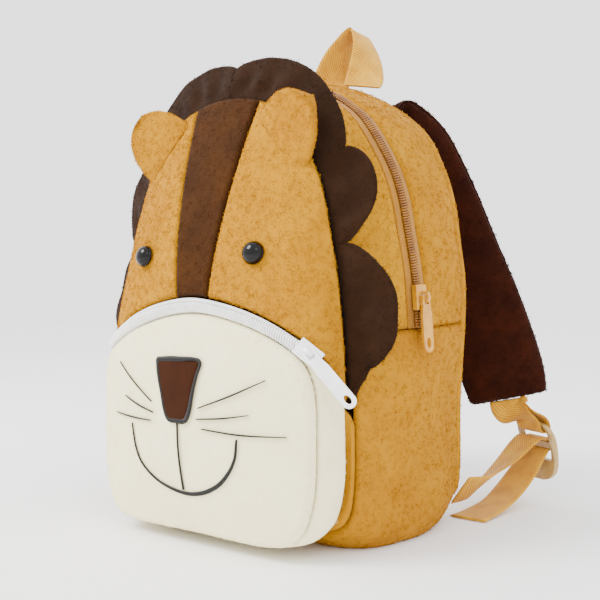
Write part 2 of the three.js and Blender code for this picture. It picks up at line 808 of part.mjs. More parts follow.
// Glossy eye: a low dome on the face, its axis along the face's outward direction.
function eye(side) {
  const radius = eyeDiameter / 2;
  const [across, rise] = placeOver(faceSkin, (side * eyeSpacing) / 2, eyeHeight, [side * 0.4, 0.35]);
  const out = outwardOf(faceSkin, across, rise, 0.004, 0.004);
  const outline = [new THREE.Vector2(0, 0), new THREE.Vector2(radius * 0.94, 0)];
  const steps = 5;
  for (let n = 0; n <= steps; n += 1) {
    const angle = (n / steps) * (Math.PI / 2);
    const height = 1.2 + radius * 0.72 * Math.sin(angle);
    outline.push(new THREE.Vector2(n === steps ? 0 : radius * Math.cos(angle), height));
  }
  const dome = new THREE.LatheGeometry(outline, 14);
  const turn = new THREE.Quaternion().setFromUnitVectors(vec(0, 1, 0), out);
  const seat = faceSkin(across, rise).addScaledVector(out, seamGap);
  dome.applyQuaternion(turn).translate(...seat.toArray());
  return dome;
}

// Nose: a thin patch on the muzzle, wide at the top and narrow at the bottom.
function nose() {
  const layer = (lift) => (a, b) => {
    const z = lerp(noseBottomHeight, noseTopHeight, b);
    const half = lerp(noseBottomWidth, noseTopWidth, b ** 0.85) / 2;
    const x = lerp(-half, half, a);
    return vec(x, muzzleY(x, z) - seamGap - lift, z);
  };
  return sheetBetween(layer(noseThickness), layer(0), 5, 5);
}

// How far forward the muzzle stands over a point of the face.
function muzzleY(x, z) {
  const angle = Math.abs(Math.atan2(x - muzzleMiddle.x, muzzleMiddle.z - z));
  let [from, to] = [0, archRow];
  for (let turn = 0; turn < 24; turn += 1) {
    const middle = (from + to) / 2;
    const seam = muzzleFront(middle, 1);
    if (Math.atan2(seam.x, muzzleMiddle.z - seam.z) < angle) from = middle;
    else to = middle;
  }
  const edge = muzzleFront(from, 1);
  const full = Math.hypot(edge.x - muzzleMiddle.x, edge.z - muzzleMiddle.z);
  const ring = Math.hypot(x - muzzleMiddle.x, z - muzzleMiddle.z) / full;
  return muzzleFront(from, Math.min(ring, 1)).y;
}

// Stuffed ear on the right of the face, standing out and forward from its top corner. Its foot follows
// the face.
function ear() {
  const seat = faceSkin(earAcross, earRise).add(vec(0, earSetBack, 0));
  const tilt = 0.06;
  const along = faceSkin(earAcross + tilt, earRise).sub(faceSkin(earAcross - tilt, earRise)).normalize();
  const normal = outwardOf(faceSkin, earAcross, earRise, 0.004, 0.004);
  const outward = outlineOutward(rimPlace(earAcross), 0);
  const stand = normal.multiplyScalar(0.45).addScaledVector(outward, 1).normalize();
  stand.addScaledVector(along, -stand.dot(along)).normalize();
  const flat = stand.clone().cross(along).normalize();
  const [steps, sides] = [8, 12];
  const frames = [];
  for (let i = 0; i <= steps; i += 1) {
    const share = Math.sin((i / steps) * Math.PI * 0.5);
    const point = seat.clone().addScaledVector(stand, share * (earReach + earRoot) - earRoot);
    frames.push({ point, across: along, up: flat });
  }
  const body = sweptBar(frames, (share) => {
    const height = Math.sin(share * Math.PI * 0.5);
    const taper = Math.sqrt(Math.max(1 - height ** 2.4, 0.02));
    const corners = [];
    for (let n = 0; n < sides; n += 1) {
      const angle = (n / sides) * 2 * Math.PI;
      const wide = (earWidth / 2) * taper * Math.cos(angle);
      const cup = earCup * height * Math.sin(angle) ** 2;
      const thick = (earThickness / 2) * (0.35 + 0.65 * taper) * Math.sin(angle);
      corners.push([wide, thick + cup]);
    }
    return corners;
  });
  const clearOfFace = facePanel(...faceSpan, { wall: 9, sink: -2 * seamGap, high: 1.04 });
  const clearOfMane = mane(-seamGap, 24);
  return withoutInside(withoutInside(body, clearOfFace), clearOfMane);
}

// Mane on the right side: one flat double layer sewn into the face seam, cut in scallops.
function mane(front = 0, back = maneThickness) {
  const columns = [];
  maneLobes.forEach((lobe, n) => {
    const steps = lobe.crest ? 8 : 2;
    for (let i = n === 0 ? 0 : 1; i <= steps; i += 1) {
      const share = (1 - Math.cos((i / steps) * Math.PI)) / 2;
      const round = Math.sin(share * Math.PI) ** 0.62;
      const root = lerp(lobe.rootFrom, lobe.rootTo, share);
      const reach = maneReach * (root + lobe.crest * round);
      columns.push({ place: lerp(lobe.from, lobe.to, share), reach });
    }
  });
  columns[0].place -= 0.02;
  const lean = vec(0, maneLean, 0);
  const layer = (depth) => (a, b) => {
    const { place, reach } = columns[Math.round(a * (columns.length - 1))];
    const rim = bodyOutline(place, 0);
    const outward = outlineOutward(place, 0);
    const radial = lerp(-2, reach, b);
    const point = vec(rim.x, frontSeamY - seamGap - maneThickness + depth, rim.z);
    const lifted = Math.max(radial, 0);
    return point.addScaledVector(outward, radial * 0.95).addScaledVector(lean, lifted);
  };
  return sheetBetween(layer(front), layer(back), columns.length - 1, 2);
}

// Shoulder pad, right side
const backFaceY = backSeamY + seamGap + backPadding;
function padFrames(steps) {
  const frames = [];
  const at = (place) => {
    const row = alongRows(padRows, place);
    const x = row.side * backHalfWidth;
    return vec(x, backFaceY + padSeat + row.out * padStandOff, row.height * backHeight);
  };
  for (let i = 0; i <= steps; i += 1) {
    const place = (i / steps) * (padRows.length - 1);
    const tangent = at(Math.min(place + 0.02, padRows.length - 1)).sub(at(Math.max(place - 0.02, 0)));
    tangent.normalize();
    const turn = THREE.MathUtils.degToRad(alongRows(padRows, place).turn);
    const across = vec(Math.cos(turn), Math.sin(turn), 0);
    across.addScaledVector(tangent, -across.dot(tangent)).normalize();
    frames.push({ point: at(place), across, up: tangent.clone().cross(across), run: tangent });
  }
  return frames;
}

function shoulderPad() {
  const steps = 16;
  return sweptBar(padFrames(steps), (share) => {
    const row = alongRows(padRows, share * (padRows.length - 1));
    const corners = [];
    for (let n = 0; n < 12; n += 1) {
      const angle = (n / 12) * 2 * Math.PI;
      const [c, s] = [Math.cos(angle), Math.sin(angle)];
      const wide = (padWidth / 2) * row.broad * Math.sign(c) * Math.abs(c) ** 0.6;
      const thick = (padThickness / 2) * row.thick * Math.sign(s) * Math.abs(s) ** 0.75;
      corners.push([wide, thick]);
    }
    return corners;
  });
}

// Buckle frame: middle bar of the right buckle, hung below the end of the pad.
function buckleFrame() {
  const end = padFrames(4).at(-1);
  const along = buckleAlong.clone().normalize();
  const up = buckleUp.clone();
  up.addScaledVector(along, -up.dot(along)).normalize();
  const out = along.clone().cross(up).normalize();
  const point = end.point.clone().add(buckleDrop);
  return { point, along, up, out };
}

const slotEdge = buckleBar / 2 + buckleSlotHeight;
const buckleTop = slotEdge + buckleTopBar;
const buckleBottom = -slotEdge - buckleTab;

// How far the curved plate stands back from its frame at a height on it.
function buckleBend(up) {
  const half = (buckleTop - buckleBottom) / 2;
  const share = (up - (buckleTop + buckleBottom) / 2) / half;
  return -buckleCurve * (1 - share * share);
}

function buckle() {
  const height = buckleTop - buckleBottom;
  const middle = (buckleTop + buckleBottom) / 2;
  const outline = new THREE.Shape(roundedRectangle(buckleWidth, height, buckleCorner, middle));
  for (const side of [-1, 1]) {
    const slotMiddle = (side * (buckleBar + buckleSlotHeight)) / 2;
    const slot = roundedRectangle(buckleSlotWidth, buckleSlotHeight, 1.5, slotMiddle);
    outline.holes.push(new THREE.Path(slot));
  }
  const settings = { depth: buckleThickness, bevelEnabled: false };
  const plate = new THREE.ExtrudeGeometry(outline, settings);
  const at = plate.getAttribute("position");
  for (let n = 0; n < at.count; n += 1) {
    at.setZ(n, at.getZ(n) - buckleThickness / 2 + buckleBend(at.getY(n)));
  }
  const frame = buckleFrame();
  const basis = new THREE.Matrix4().makeBasis(frame.along, frame.up, frame.out);
  return plate.applyMatrix4(basis.setPosition(frame.point));
}

// Outline points of a rectangle with rounded corners and a point every few millimetres up its sides.
function roundedRectangle(width, height, radius, middle = 0) {
  const [x, y] = [width / 2 - radius, height / 2 - radius];
  const cornerSteps = 3;
  const sideSteps = Math.max(1, Math.round((2 * y) / 5));
  const points = [];
  const corner = (sideX, sideY, start) => {
    for (let n = 0; n <= cornerSteps; n += 1) {
      const angle = start + (n / cornerSteps) * (Math.PI / 2);
      points.push(
        new THREE.Vector2(sideX * x + radius * Math.cos(angle), middle + sideY * y + radius * Math.sin(angle)),
      );
    }
  };
  const side = (atX, direction) => {
    for (let n = 1; n < sideSteps; n += 1) {
      const share = (2 * n) / sideSteps - 1;
      points.push(new THREE.Vector2(atX, middle + direction * share * y));
    }
  };
  corner(1, 1, 0);
  corner(-1, 1, Math.PI / 2);
  side(-width / 2, -1);
  corner(-1, -1, Math.PI);
  corner(1, -1, 1.5 * Math.PI);
  side(width / 2, 1);
  return points;
}

// A point beside the buckle's curved plate: up the plate and out of it, towards the bag.
function atBuckle(up, out) {
  const frame = buckleFrame();
  const lift = out + buckleBend(THREE.MathUtils.clamp(up, buckleBottom, buckleTop));
  return frame.point.clone().addScaledVector(frame.up, up).addScaledVector(frame.out, lift);
}

// Half the path that webbing takes round a bar of the plate.
const barClearance = buckleThickness / 2 + webThickness / 2 + 1.2;

// Short webbing loop from the pad's end round the buckle's top bar.
function padWebbing() {
  const end = padFrames(4).at(-1);
  const under = slotEdge - webThickness / 2 - 0.5;
  const sewn = end.point.clone().addScaledVector(end.run, 2 * seamGap);
  const apart = end.up.clone().multiplyScalar(webThickness / 2 + 0.3);
  const straight = end.run.clone().multiplyScalar(5);
  const points = [
    sewn.clone().sub(apart),
    sewn.clone().sub(apart).add(straight),
    atBuckle(buckleTop + 2, -barClearance),
    atBuckle(slotEdge + 1, -barClearance),
    atBuckle(under, -barClearance * 0.5),
    atBuckle(under, barClearance * 0.5),
    atBuckle(slotEdge + 1, barClearance),
    atBuckle(buckleTop + 2, barClearance),
    sewn.clone().add(apart).add(straight),
    sewn.clone().add(apart),
  ];
  const { along } = buckleFrame();
  const widths = points.map((point, n) => (n < 2 || n > points.length - 3 ? end.across : along));
  return sweptBar(framesAlong(points, widths, 28), strapSection);
}

// Lower strap: from the bag's bottom corner through the buckle and back as its free tail, which comes
// down to the ground behind the bag's corner.
function lowerStrap() {
  const slotHigh = buckleBar / 2 + webThickness / 2 + 0.5;
  const { along } = buckleFrame();
  const fixedBand = strapRows.filter((row) => row.band === "fixed").map(strapPoint);
  const tail = strapRows.filter((row) => row.band === "tail").map(strapPoint);
  const throughBuckle = [
    atBuckle(slotHigh + 1.5, barClearance * 1.6),
    atBuckle(slotHigh, barClearance * 0.4),
    atBuckle(slotHigh * 0.9, -barClearance * 0.8),
    atBuckle(0, -barClearance * 1.15),
    atBuckle(-slotHigh * 0.9, -barClearance * 0.8),
    atBuckle(-slotHigh, barClearance * 0.4),
    atBuckle(-slotHigh - 4, barClearance * 1.6),
  ].map((point) => ({ point, width: along }));
  const rows = [...fixedBand, ...throughBuckle, ...tail];
  const points = rows.map((row) => row.point);
  const widths = rows.map((row) => row.width);
  return sweptBar(framesAlong(points, widths, 48), strapSection);
}

function strapPoint(row) {
  const point = vec(
    row.side * backHalfWidth,
    backFaceY + padSeat + row.out * padStandOff,
    row.height * backHeight,
  );
  const turn = THREE.MathUtils.degToRad(row.turn);
  const rise = THREE.MathUtils.degToRad(row.rise);
  const flat = Math.cos(rise);
  return { point, width: vec(flat * Math.cos(turn), flat * Math.sin(turn), Math.sin(rise)) };
}

// Hand loop of webbing: two legs side by side on the top of the back panel, twisted at the tip.
function handleLoop() {
  const baseY = backSeamY + seamGap + backPadding * 0.75;
  const baseZ = backHeight + handleSeat;
  const points = handleRows.map((row) => {
    const y = baseY + row.back * handleBackLean;
    return vec(row.side * handleSpread, y, baseZ + row.rise * handleHeight);
  });
  const widths = handleRows.map((row) => {
    const turn = THREE.MathUtils.degToRad(row.turn);
    return vec(Math.cos(turn), Math.sin(turn), 0);
  });
  return sweptBar(framesAlong(points, widths, 26), strapSection);
}

const bag = new THREE.Group();

function addPiece(name, geometry, colour, roughness = 0.95, metalness = 0) {
  const material = new THREE.MeshStandardMaterial({ color: colour, roughness, metalness });
  const mesh = new THREE.Mesh(geometry, material);
  mesh.name = name;
  bag.add(mesh);
  return mesh;
}

function addPair(name, geometry, colour, roughness) {
  addPiece(name + "_right", geometry, colour, roughness);
  addPiece(name + "_left", mirroredAcross(geometry), colour, roughness);
}

// Body
const zipHalf = mainZipOpening / 2 / (backSeamY - frontSeamY);
addPiece("zip_strip_front", zipStrip(0, mainZipPlace - zipHalf), colours.gold);
addPiece("zip_strip_rear", zipStrip(mainZipPlace + zipHalf, 1), colours.gold);
addPiece("lower_gusset", lowerGusset(), colours.gold);
addPiece("back_panel", backPanel(), colours.gold);
addPiece("front_panel", frontPanel(), colours.gold);

// Face
addPiece("face_left", facePanel(-faceSpan[1], -faceSpan[0]), colours.gold);
addPiece("face_right", facePanel(...faceSpan), colours.gold);
addPiece("face_stripe", facePanel(-stripeShare + stripeGap, stripeShare - stripeGap), colours.brown, 0.8);
addPiece("eye_left", eye(-1), colours.black, 0.1);
addPiece("eye_right", eye(1), colours.black, 0.1);
addPair("ear", ear(), colours.gold);
addPair("mane", mane(), colours.darkBrown, 0.9);

// Muzzle pocket
addPiece("muzzle_front", muzzleFrontPanel(), colours.cream);
addPiece("muzzle_gusset", muzzleGusset(), colours.cream);
addPiece("pocket_zip_tape", pocketTape(), colours.white, 0.7);
addPiece("nose", nose(), colours.brown, 0.6);

// Straps
addPiece("handle_loop", handleLoop(), colours.webbing, 0.8);
addPair("shoulder_pad", shoulderPad(), colours.padBrown);
addPair("pad_webbing", padWebbing(), colours.webbing, 0.8);
addPair("buckle", buckle(), colours.buckle, 0.5);
addPair("lower_strap", lowerStrap(), colours.webbing, 0.8);

// Main zip
const tapeHalf = zipHalf - 0.004;
const mainTape = clothPanel(bodySkin, {
  from: sideSeamRow + 0.01,
  to: 2 * topRow - sideSeamRow - 0.01,
  low: mainZipPlace - tapeHalf,
  high: mainZipPlace + tapeHalf,
  steps: [zipSteps, 1],
  wall: tapeThickness,
  sink: tapeSink,
});
addPiece("main_zip_tape", mainTape, colours.zip, 0.8);
const mainCoil = zipCoil(
  bodySkin,
  mainZipPlace,
  sideSeamRow + 0.02,
  2 * topRow - sideSeamRow - 0.02,
  zipSteps,
  seamGap - tapeSink,
);
addPiece("main_zip_coil", mainCoil, colours.zip, 0.5);
const mainSliderPlace = frameOn(bodySkin, mainSliderRow, mainZipPlace);
const mainPlateLift = 2 * seamGap - tapeSink + coilHeight;
const mainSlider = addPiece("main_zip_slider", sliderBody(coilHeight - 0.4), colours.zip, 0.35, 0.5);
placeInFrame(mainSlider, mainSliderPlace, mainPlateLift);
const mainPull = addPiece("main_zip_pull", pullTab(mainPullLength, mainPullWidth), colours.zip, 0.35, 0.5);
placeInFrame(mainPull, mainSliderPlace, mainPlateLift + hingeHeight);

// Pocket zip
const pocketCoil = zipCoil(
  muzzleSide,
  0.5,
  pocketZipRow + 0.05,
  2 * archRow - pocketZipRow - 0.05,
  pocketZipSteps,
  pocketCoilLift,
);
addPiece("pocket_zip_coil", pocketCoil, colours.white, 0.5);
const pocketSliderPlace = frameOn(muzzleSide, pocketSliderRow, 0.5);
const pocketPlateLift = pocketCoilLift + coilHeight + seamGap;
const pocketSlider = addPiece("pocket_zip_slider", sliderBody(coilHeight - 0.4), colours.white, 0.35);
placeInFrame(pocketSlider, pocketSliderPlace, pocketPlateLift);
const pocketPull = addPiece("pocket_zip_pull", pullTab(pocketPullLength, pocketPullWidth), colours.white, 0.35);
const pocketPullPlace = swungFrame(pocketSliderPlace, pocketPullSwing);
placeInFrame(pocketPull, pocketPullPlace, pocketPlateLift + hingeHeight);

export default bag;
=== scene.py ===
"""Plush lion toddler backpack: surfaces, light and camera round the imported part.

Lengths are in millimetres, in the part's own frame, and mesh_of() turns them into metres.
"""
import math
import bpy
import numpy as np
from mathutils import Matrix, Vector


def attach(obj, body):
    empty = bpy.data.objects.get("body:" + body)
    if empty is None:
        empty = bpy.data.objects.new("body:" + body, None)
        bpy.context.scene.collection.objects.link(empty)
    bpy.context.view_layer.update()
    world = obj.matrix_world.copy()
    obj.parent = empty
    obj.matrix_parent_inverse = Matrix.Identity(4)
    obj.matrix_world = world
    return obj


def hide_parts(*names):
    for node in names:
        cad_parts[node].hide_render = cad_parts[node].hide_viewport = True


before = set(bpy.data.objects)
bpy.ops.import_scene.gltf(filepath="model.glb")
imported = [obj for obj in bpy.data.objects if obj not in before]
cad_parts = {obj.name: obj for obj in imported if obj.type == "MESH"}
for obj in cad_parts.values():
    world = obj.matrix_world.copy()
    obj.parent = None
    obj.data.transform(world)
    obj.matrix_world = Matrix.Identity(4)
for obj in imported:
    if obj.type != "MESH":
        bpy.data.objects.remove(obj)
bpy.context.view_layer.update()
MM = 0.001

# Main body
FRONT_HEIGHT, FRONT_HALF = 252, 85
BACK_HEIGHT, BACK_HALF = 276, 91.5
FRONT_Y, BACK_Y = -54, 51
FRONT_RISE, BACK_RISE = 10, 9
SIDE_BULGE, BOTTOM_BULGE, BULGE_ROUNDNESS = 8, 19, 0.6
CLOTH_WALL, SEAM_GAP = 3, 0.4
BACK_PADDING, BACK_DOME = 8, 5
BACK_FACE = BACK_Y + SEAM_GAP + BACK_PADDING

# Face, muzzle pocket and nose
RIM_Y, FACE_DEPTH, FACE_SLOPE = -60, 29.5, 1.6
MUZZLE_HEIGHT, MUZZLE_HALF, MUZZLE_CROWN = 128, 84.5, 2.4
MUZZLE_Y, MUZZLE_DOME, MUZZLE_BULGE, MUZZLE_MIDDLE_Z = -89, 10.5, 3.5, MUZZLE_HEIGHT * 0.68
PANEL_Y = -57.4
EYE_DIAMETER, EYE_SPACING, EYE_HEIGHT, EYE_DOME = 12, 82, 161, 0.72
EYE_RIM_SPREAD, EYE_RIM_HEIGHT, EYE_RIM_TOP = (0.86, 1.04, 1.06), (0, 0.1, 0.9), 1.2
NOSE_TOP_WIDTH, NOSE_BOTTOM_WIDTH = 32, 14
NOSE_TOP, NOSE_BOTTOM, NOSE_THICKNESS, NOSE_GRID = 104, 71, 1.2, 30
STITCH_PITCH, STITCH_CROWN, STITCH_SLANT, THREAD_RADIUS = 0.42, 0.75, 0.12, 0.26

# Ears and mane
EAR_WIDTH, EAR_REACH, EAR_THICKNESS, EAR_ROOT, EAR_CUP = 44, 27, 13, 4, 5
EAR_ACROSS, EAR_RISE, EAR_SET_BACK = 0.23, 0.92, 1
EAR_LEAN, EAR_TAPER, EAR_PLEATS, EAR_PLEAT_DEPTH = 0.45, 2.4, 6, 0.18
MANE_THICKNESS, MANE_REACH, MANE_LEAN, MANE_TUCK, MANE_STRETCH = 2.4, 26, 0.32, 2, 0.95
MANE_WAVE, MANE_CREASE, MANE_CREASES, SCALLOP_STEPS, MANE_TAIL_STEPS = 2.2, 1.5, 7.5, 60, 12
MANE_HEM, MANE_STITCH, STITCH_DEPTH = 3, 3.2, 0.55

# Zips, straps and pads
ZIP_OPENING, ZIP_PLACE = 17, 0.47
TAPE_THICKNESS, TAPE_SINK, COIL_WIDTH, COIL_HEIGHT = 1, 1.4, 6, 2.2
COIL_PITCH, COIL_DIP, COIL_SLANT = 1.5, 0.3, 0.2
WEB_WIDTH, WEB_THICKNESS, RIB_HEIGHT, RIB_PITCH, RIB_SLANT = 25, 1.6, 0.08, 2, 6
HANDLE_HEIGHT, HANDLE_SPREAD, HANDLE_LEAN, HANDLE_SEAT = 41, 13.5, 17, 0.85
PAD_WIDTH, PAD_THICKNESS, PAD_STAND_OFF, PAD_SEAT, PAD_STEPS = 58, 14, 56, 3, 150
BUCKLE_TOP_BAR, BUCKLE_TAB, BUCKLE_CURVE, BUCKLE_THICKNESS = 5, 13, 4, 3.4
BUCKLE_SLOT_HEIGHT, BUCKLE_BAR = 8, 4.4
BUCKLE_DROP = np.array((14, 10, -30))
BUCKLE_ALONG, BUCKLE_UP = np.array((0.88, -0.47, 0)), np.array((-0.12, -0.1, 1))
SLOT_EDGE = BUCKLE_BAR / 2 + BUCKLE_SLOT_HEIGHT
BUCKLE_HIGH = SLOT_EDGE + BUCKLE_TOP_BAR
BUCKLE_LOW = -SLOT_EDGE - BUCKLE_TAB
BAR_CLEARANCE = BUCKLE_THICKNESS / 2 + WEB_THICKNESS / 2 + 1.2

# Grid pitch of the body's cloth, and the lowest points that cloth and pile may reach over the floor
BODY_PITCH, CLOTH_FLOOR, PILE_FLOOR = 2, 0.05, 0.02

# Ripples of sewn panels and of round panels: sizes and heights of the broad and fine bumps, how far the
# fine ones reach from a seam, the sag, the calm margin and the width of the edge rolled into the seam
PANEL_RIPPLES = {"broad": 26, "broad_height": 0.9, "fine": 11, "fine_height": 0.6, "fine_reach": 14,
                 "sag": 0.5, "calm_margin": 6, "edge_width": 2.6, "seed": 1}
SLAB_RIPPLES = {"broad": 30, "broad_height": 0.9, "fine": 12, "fine_height": 0.7, "fine_reach": 12,
                "sag": 0.4, "calm_margin": 8, "edge_width": 3.5, "seed": 4}

# Pile: blades in a clump, depth of their roots, spread of their lengths, and what leaning does to a tip
CLUMP_BLADES, ROOT_DEPTH, LENGTH_SPREAD = 6, 0.25, (0.7, 1.15)
LEAN_LOSS, LEAN_SWIRL, LEAN_GATHER, BLADE_TWIST = 0.45, 0.9, 0.5, 0.6

# Outline of the body from the middle of its bottom to the middle of its top
BODY = {
    "front_x": (0, 0.53, 0.82, 0.955, 0.997, 1, 0.988, 0.971, 0.929, 0.871, 0.794, 0.659, 0.459, 0.235, 0),
    "front_z": (0, 0, 0.01, 0.045, 0.12, 0.234, 0.353, 0.447, 0.566, 0.677, 0.783, 0.87, 0.953, 0.989, 1),
    "back_x": (0, 0.55, 0.83, 0.94, 0.965, 0.967, 0.984, 1, 1, 0.967, 0.923, 0.842, 0.689, 0.372, 0),
    "back_z": (0, 0, 0.006, 0.035, 0.105, 0.236, 0.341, 0.423, 0.52, 0.603, 0.7, 0.783, 0.873, 0.955, 1),
    "swell": (1, 1, 1, 1, 1, 1, 1, 1, 1, 0.95, 0.9, 0.85, 0.8, 0.75, 0.75),
}
TOP_ROW, SIDE_ROW, SEAM_SHARE = 14, 7, 0.01
TOP_SPAN = (SIDE_ROW + SEAM_SHARE, 2 * TOP_ROW - SIDE_ROW - SEAM_SHARE)
LOW_SPAN = (SEAM_SHARE - SIDE_ROW, SIDE_ROW - SEAM_SHARE)

# Outline of the muzzle pocket from the middle of its bottom to the middle of its arch
MUZZLE = {
    "seam_x": (0, 0.6, 0.82, 0.915, 0.935, 0.925, 0.89, 0.82, 0.64, 0.44, 0.218, 0),
    "seam_z": (0.06, 0.06, 0.11, 0.27, 0.5, 0.68, 0.775, 0.835, 0.906, 0.956, 0.992, 1.005),
    "curve": (0.04, 0.06, 0.14, 0.2, 0.2, 0.2, 0.16, 0.12, 0.05, 0.02, 0, 0),
    "base_x": (0, 0.68, 0.9, 0.985, 0.99, 0.99, 0.975, 0.9, 0.686, 0.469, 0.228, 0),
    "base_z": (0.1, 0.1, 0.15, 0.31, 0.5, 0.66, 0.77, 0.86, 0.956, 1.015, 1.054, 1.07),
    "depth": (0, 0, 0, 0, 0, 0.06, 0.3, 0.56, 0.84, 0.95, 1, 1),
}
ARCH_ROW, POCKET_ZIP_ROW = 11, 6.8
FACE_START, SEAM_START = 5, 5.4
STRIPE_SHARE, STRIPE_GAP, RIM_FAN = 0.1, 0.0022, 0.86
FACE_END, FACE_RISE, PANEL_END = 0.983, (0.014, 0.998), 0.985
SIDEWAYS = ("front_x", "back_x", "seam_x", "base_x")

# Mane lobes: row of the outline at each end, reach at each end and crest, as shares of the full reach
MANE_LOBES = ((14, 10.5, 0.72, 0.62, 0.36), (10.5, 8.7, 0.62, 0.14, 0.6), (8.7, 6.2, 0.14, 0.36, 0.8),
              (6.2, 5.6, 0.36, 0.05, 0))
# Middle line of the pad from its upper to its lower end, in shares of the back and of the pad's size
PAD = {
    "side": (0.29, 0.33, 0.43, 0.55, 0.68, 0.83, 0.95, 0.995),
    "out": (0.075, 0.18, 0.4, 0.6, 0.73, 0.86, 0.98, 1.02),
    "height": (0.94, 0.93, 0.86, 0.73, 0.6, 0.46, 0.32, 0.25),
    "turn": (0, 0, 3, 7, 11, 15, 18, 18),
    "broad": (0.6, 0.74, 0.92, 1, 1, 1, 1, 0.92),
    "thick": (0.3, 0.8, 1, 1, 1, 1, 1, 0.8),
}
# Hand loop: side, back, rise and turn of each point; lower strap: side, out, height, turn and rise
HANDLE_ROWS = ((-0.9, 0, 0, 24), (-0.86, 0.22, 0.25, 52), (-0.55, 0.62, 0.7, 84), (0.05, 0.95, 1, 96),
               (0.68, 0.8, 0.7, 84), (1.05, 0.35, 0.25, 54), (1.1, 0, 0, 24))
FIXED_ROWS = ((0.94, -0.02, 0.06, 0, 50), (0.985, 0.26, 0.06, -5, 45), (0.985, 0.55, 0.075, -15, 30),
              (1.02, 0.82, 0.1, -24, 15))
TAIL_ROWS = ((1.11, 1.03, 0.079, -22, 0), (1.075, 0.84, 0.046, -12, 5), (1.055, 0.56, 0.021, -4, 8),
             (1.03, 0.26, 0.008, 0, 4), (1.02, -0.1, 0.004, 0, 0))


def lerp(a, b, t):
    return a + (b - a) * t


def hermite(start, end, slope_start, slope_end, t):
    return ((2 * t**3 - 3 * t**2 + 1) * start + (t**3 - 2 * t**2 + t) * slope_start
            + (3 * t**2 - 2 * t**3) * end + (t**3 - t**2) * slope_end)


def cubic(a, b, c, d, t):
    return hermite(b, c, (c - a) / 2, (d - b) / 2, t)


def folded(place, last):
    return np.where(place < 0, -place, np.where(place > last, 2 * last - place, place))


def round_the_loop(table, place):
    """Reads a half outline all the way round; places off its ends are on the left side."""
    last = len(next(iter(table.values()))) - 1
    place = np.asarray(place, float)
    on_left = (place < 0) | (place > last)
    along = folded(place, last)
    index = np.minimum(np.floor(along).astype(int), last - 1)
    row = {}
    for name, values in table.items():
        near = []
        for step in (-1, 0, 1, 2):
            at = index + step
            turned = ((at < 0) | (at > last)) if name in SIDEWAYS else np.zeros_like(on_left)
            value = np.array(values, float)[np.clip(folded(at, last), 0, last)]
            near.append(np.where(turned, -value, value))
        value = cubic(*near, along - index)
        row[name] = np.where(on_left, -value, value) if name in SIDEWAYS else value
    return row


def along_rows(table, place):
    last = len(next(iter(table.values()))) - 1
    index = np.minimum(np.floor(place).astype(int), last - 1)
    row = {}
    for name, values in table.items():
        near = [np.array(values, float)[np.clip(index + step, 0, last)] for step in (-1, 0, 1, 2)]
        row[name] = cubic(*near, place - index)
    return row


def round_turn(count):
    return np.linspace(0, 2 * np.pi, count, endpoint=False)


def stack(x, y, z):
    return np.stack(np.broadcast_arrays(x, y, z), -1).astype(float)


def unit(vectors):
    """Vectors scaled to length one; a zero vector stays zero."""
    return vectors / np.maximum(np.linalg.norm(vectors, axis=-1, keepdims=True), 1e-9)


def body_outline(place, share):
    row = round_the_loop(BODY, place)
    x = lerp(row["front_x"] * FRONT_HALF, row["back_x"] * BACK_HALF, share)
    front_z = lerp(FRONT_RISE, FRONT_HEIGHT, row["front_z"])
    z = lerp(front_z, lerp(BACK_RISE, BACK_HEIGHT, row["back_z"]), share)
    return x, z, row["swell"]


def outline_outward(place, share):
    step = 0.05
    before, after = body_outline(place - step, share), body_outline(place + step, share)
    return unit(stack(after[1] - before[1], 0, before[0] - after[0]))


def body_skin(place, share):
    """The stuffed side of the bag, round the seam and from the front to the back."""
    x, z, swell = body_outline(place, share)
    out = outline_outward(place, share)
    arc = np.sin(np.pi * np.clip(share, 0, 1)) ** BULGE_ROUNDNESS
    down = np.maximum(0, -out[..., 2])
    push = arc * (SIDE_BULGE * swell * (1 - down) + BOTTOM_BULGE * down)
    y = lerp(FRONT_Y + SEAM_GAP, BACK_Y, share)
    return stack(x + out[..., 0] * push, y, np.maximum(z + out[..., 2] * push, 0))


def arch_point(across):
    place = ARCH_ROW - np.abs(across) * (ARCH_ROW - FACE_START)
    row = round_the_loop(MUZZLE, place)
    side = np.where(across < 0, -1, 1)
    x, z = side * row["base_x"] * MUZZLE_HALF, row["base_z"] * MUZZLE_HEIGHT
    return stack(x, RIM_Y - row["depth"] * FACE_DEPTH, z)


def rim_place(across):
    return TOP_ROW - np.abs(across) ** RIM_FAN * (TOP_ROW - SEAM_START)


def face_skin(across, rise):
    """Domed face, from the muzzle's arch up to the body seam."""
    arch = arch_point(across)
    x, z, _ = body_outline(rim_place(across), 0)
    side = np.where(across < 0, -1, 1)
    depth = (RIM_Y - arch[..., 1]) * (1 - np.maximum(rise, 0) ** FACE_SLOPE)
    return stack(lerp(arch[..., 0], side * x, rise), RIM_Y - depth, lerp(arch[..., 2], z, rise))


def front_panel_skin(across, drop):
    arch, step = arch_point(across), 0.01
    along = arch_point(across + step) - arch_point(across - step)
    inward = unit(stack(along[..., 2], 0, -along[..., 0]))
    arch = arch + inward * (CLOTH_WALL + 2 * SEAM_GAP)
    x, z, _ = body_outline(across * (SEAM_START - 0.2), 0)
    reach = (PANEL_Y - arch[..., 1] - CLOTH_WALL) * (1 - drop) ** 3
    return stack(lerp(arch[..., 0], x, drop), PANEL_Y - np.maximum(reach, 0), lerp(arch[..., 2], z, drop))


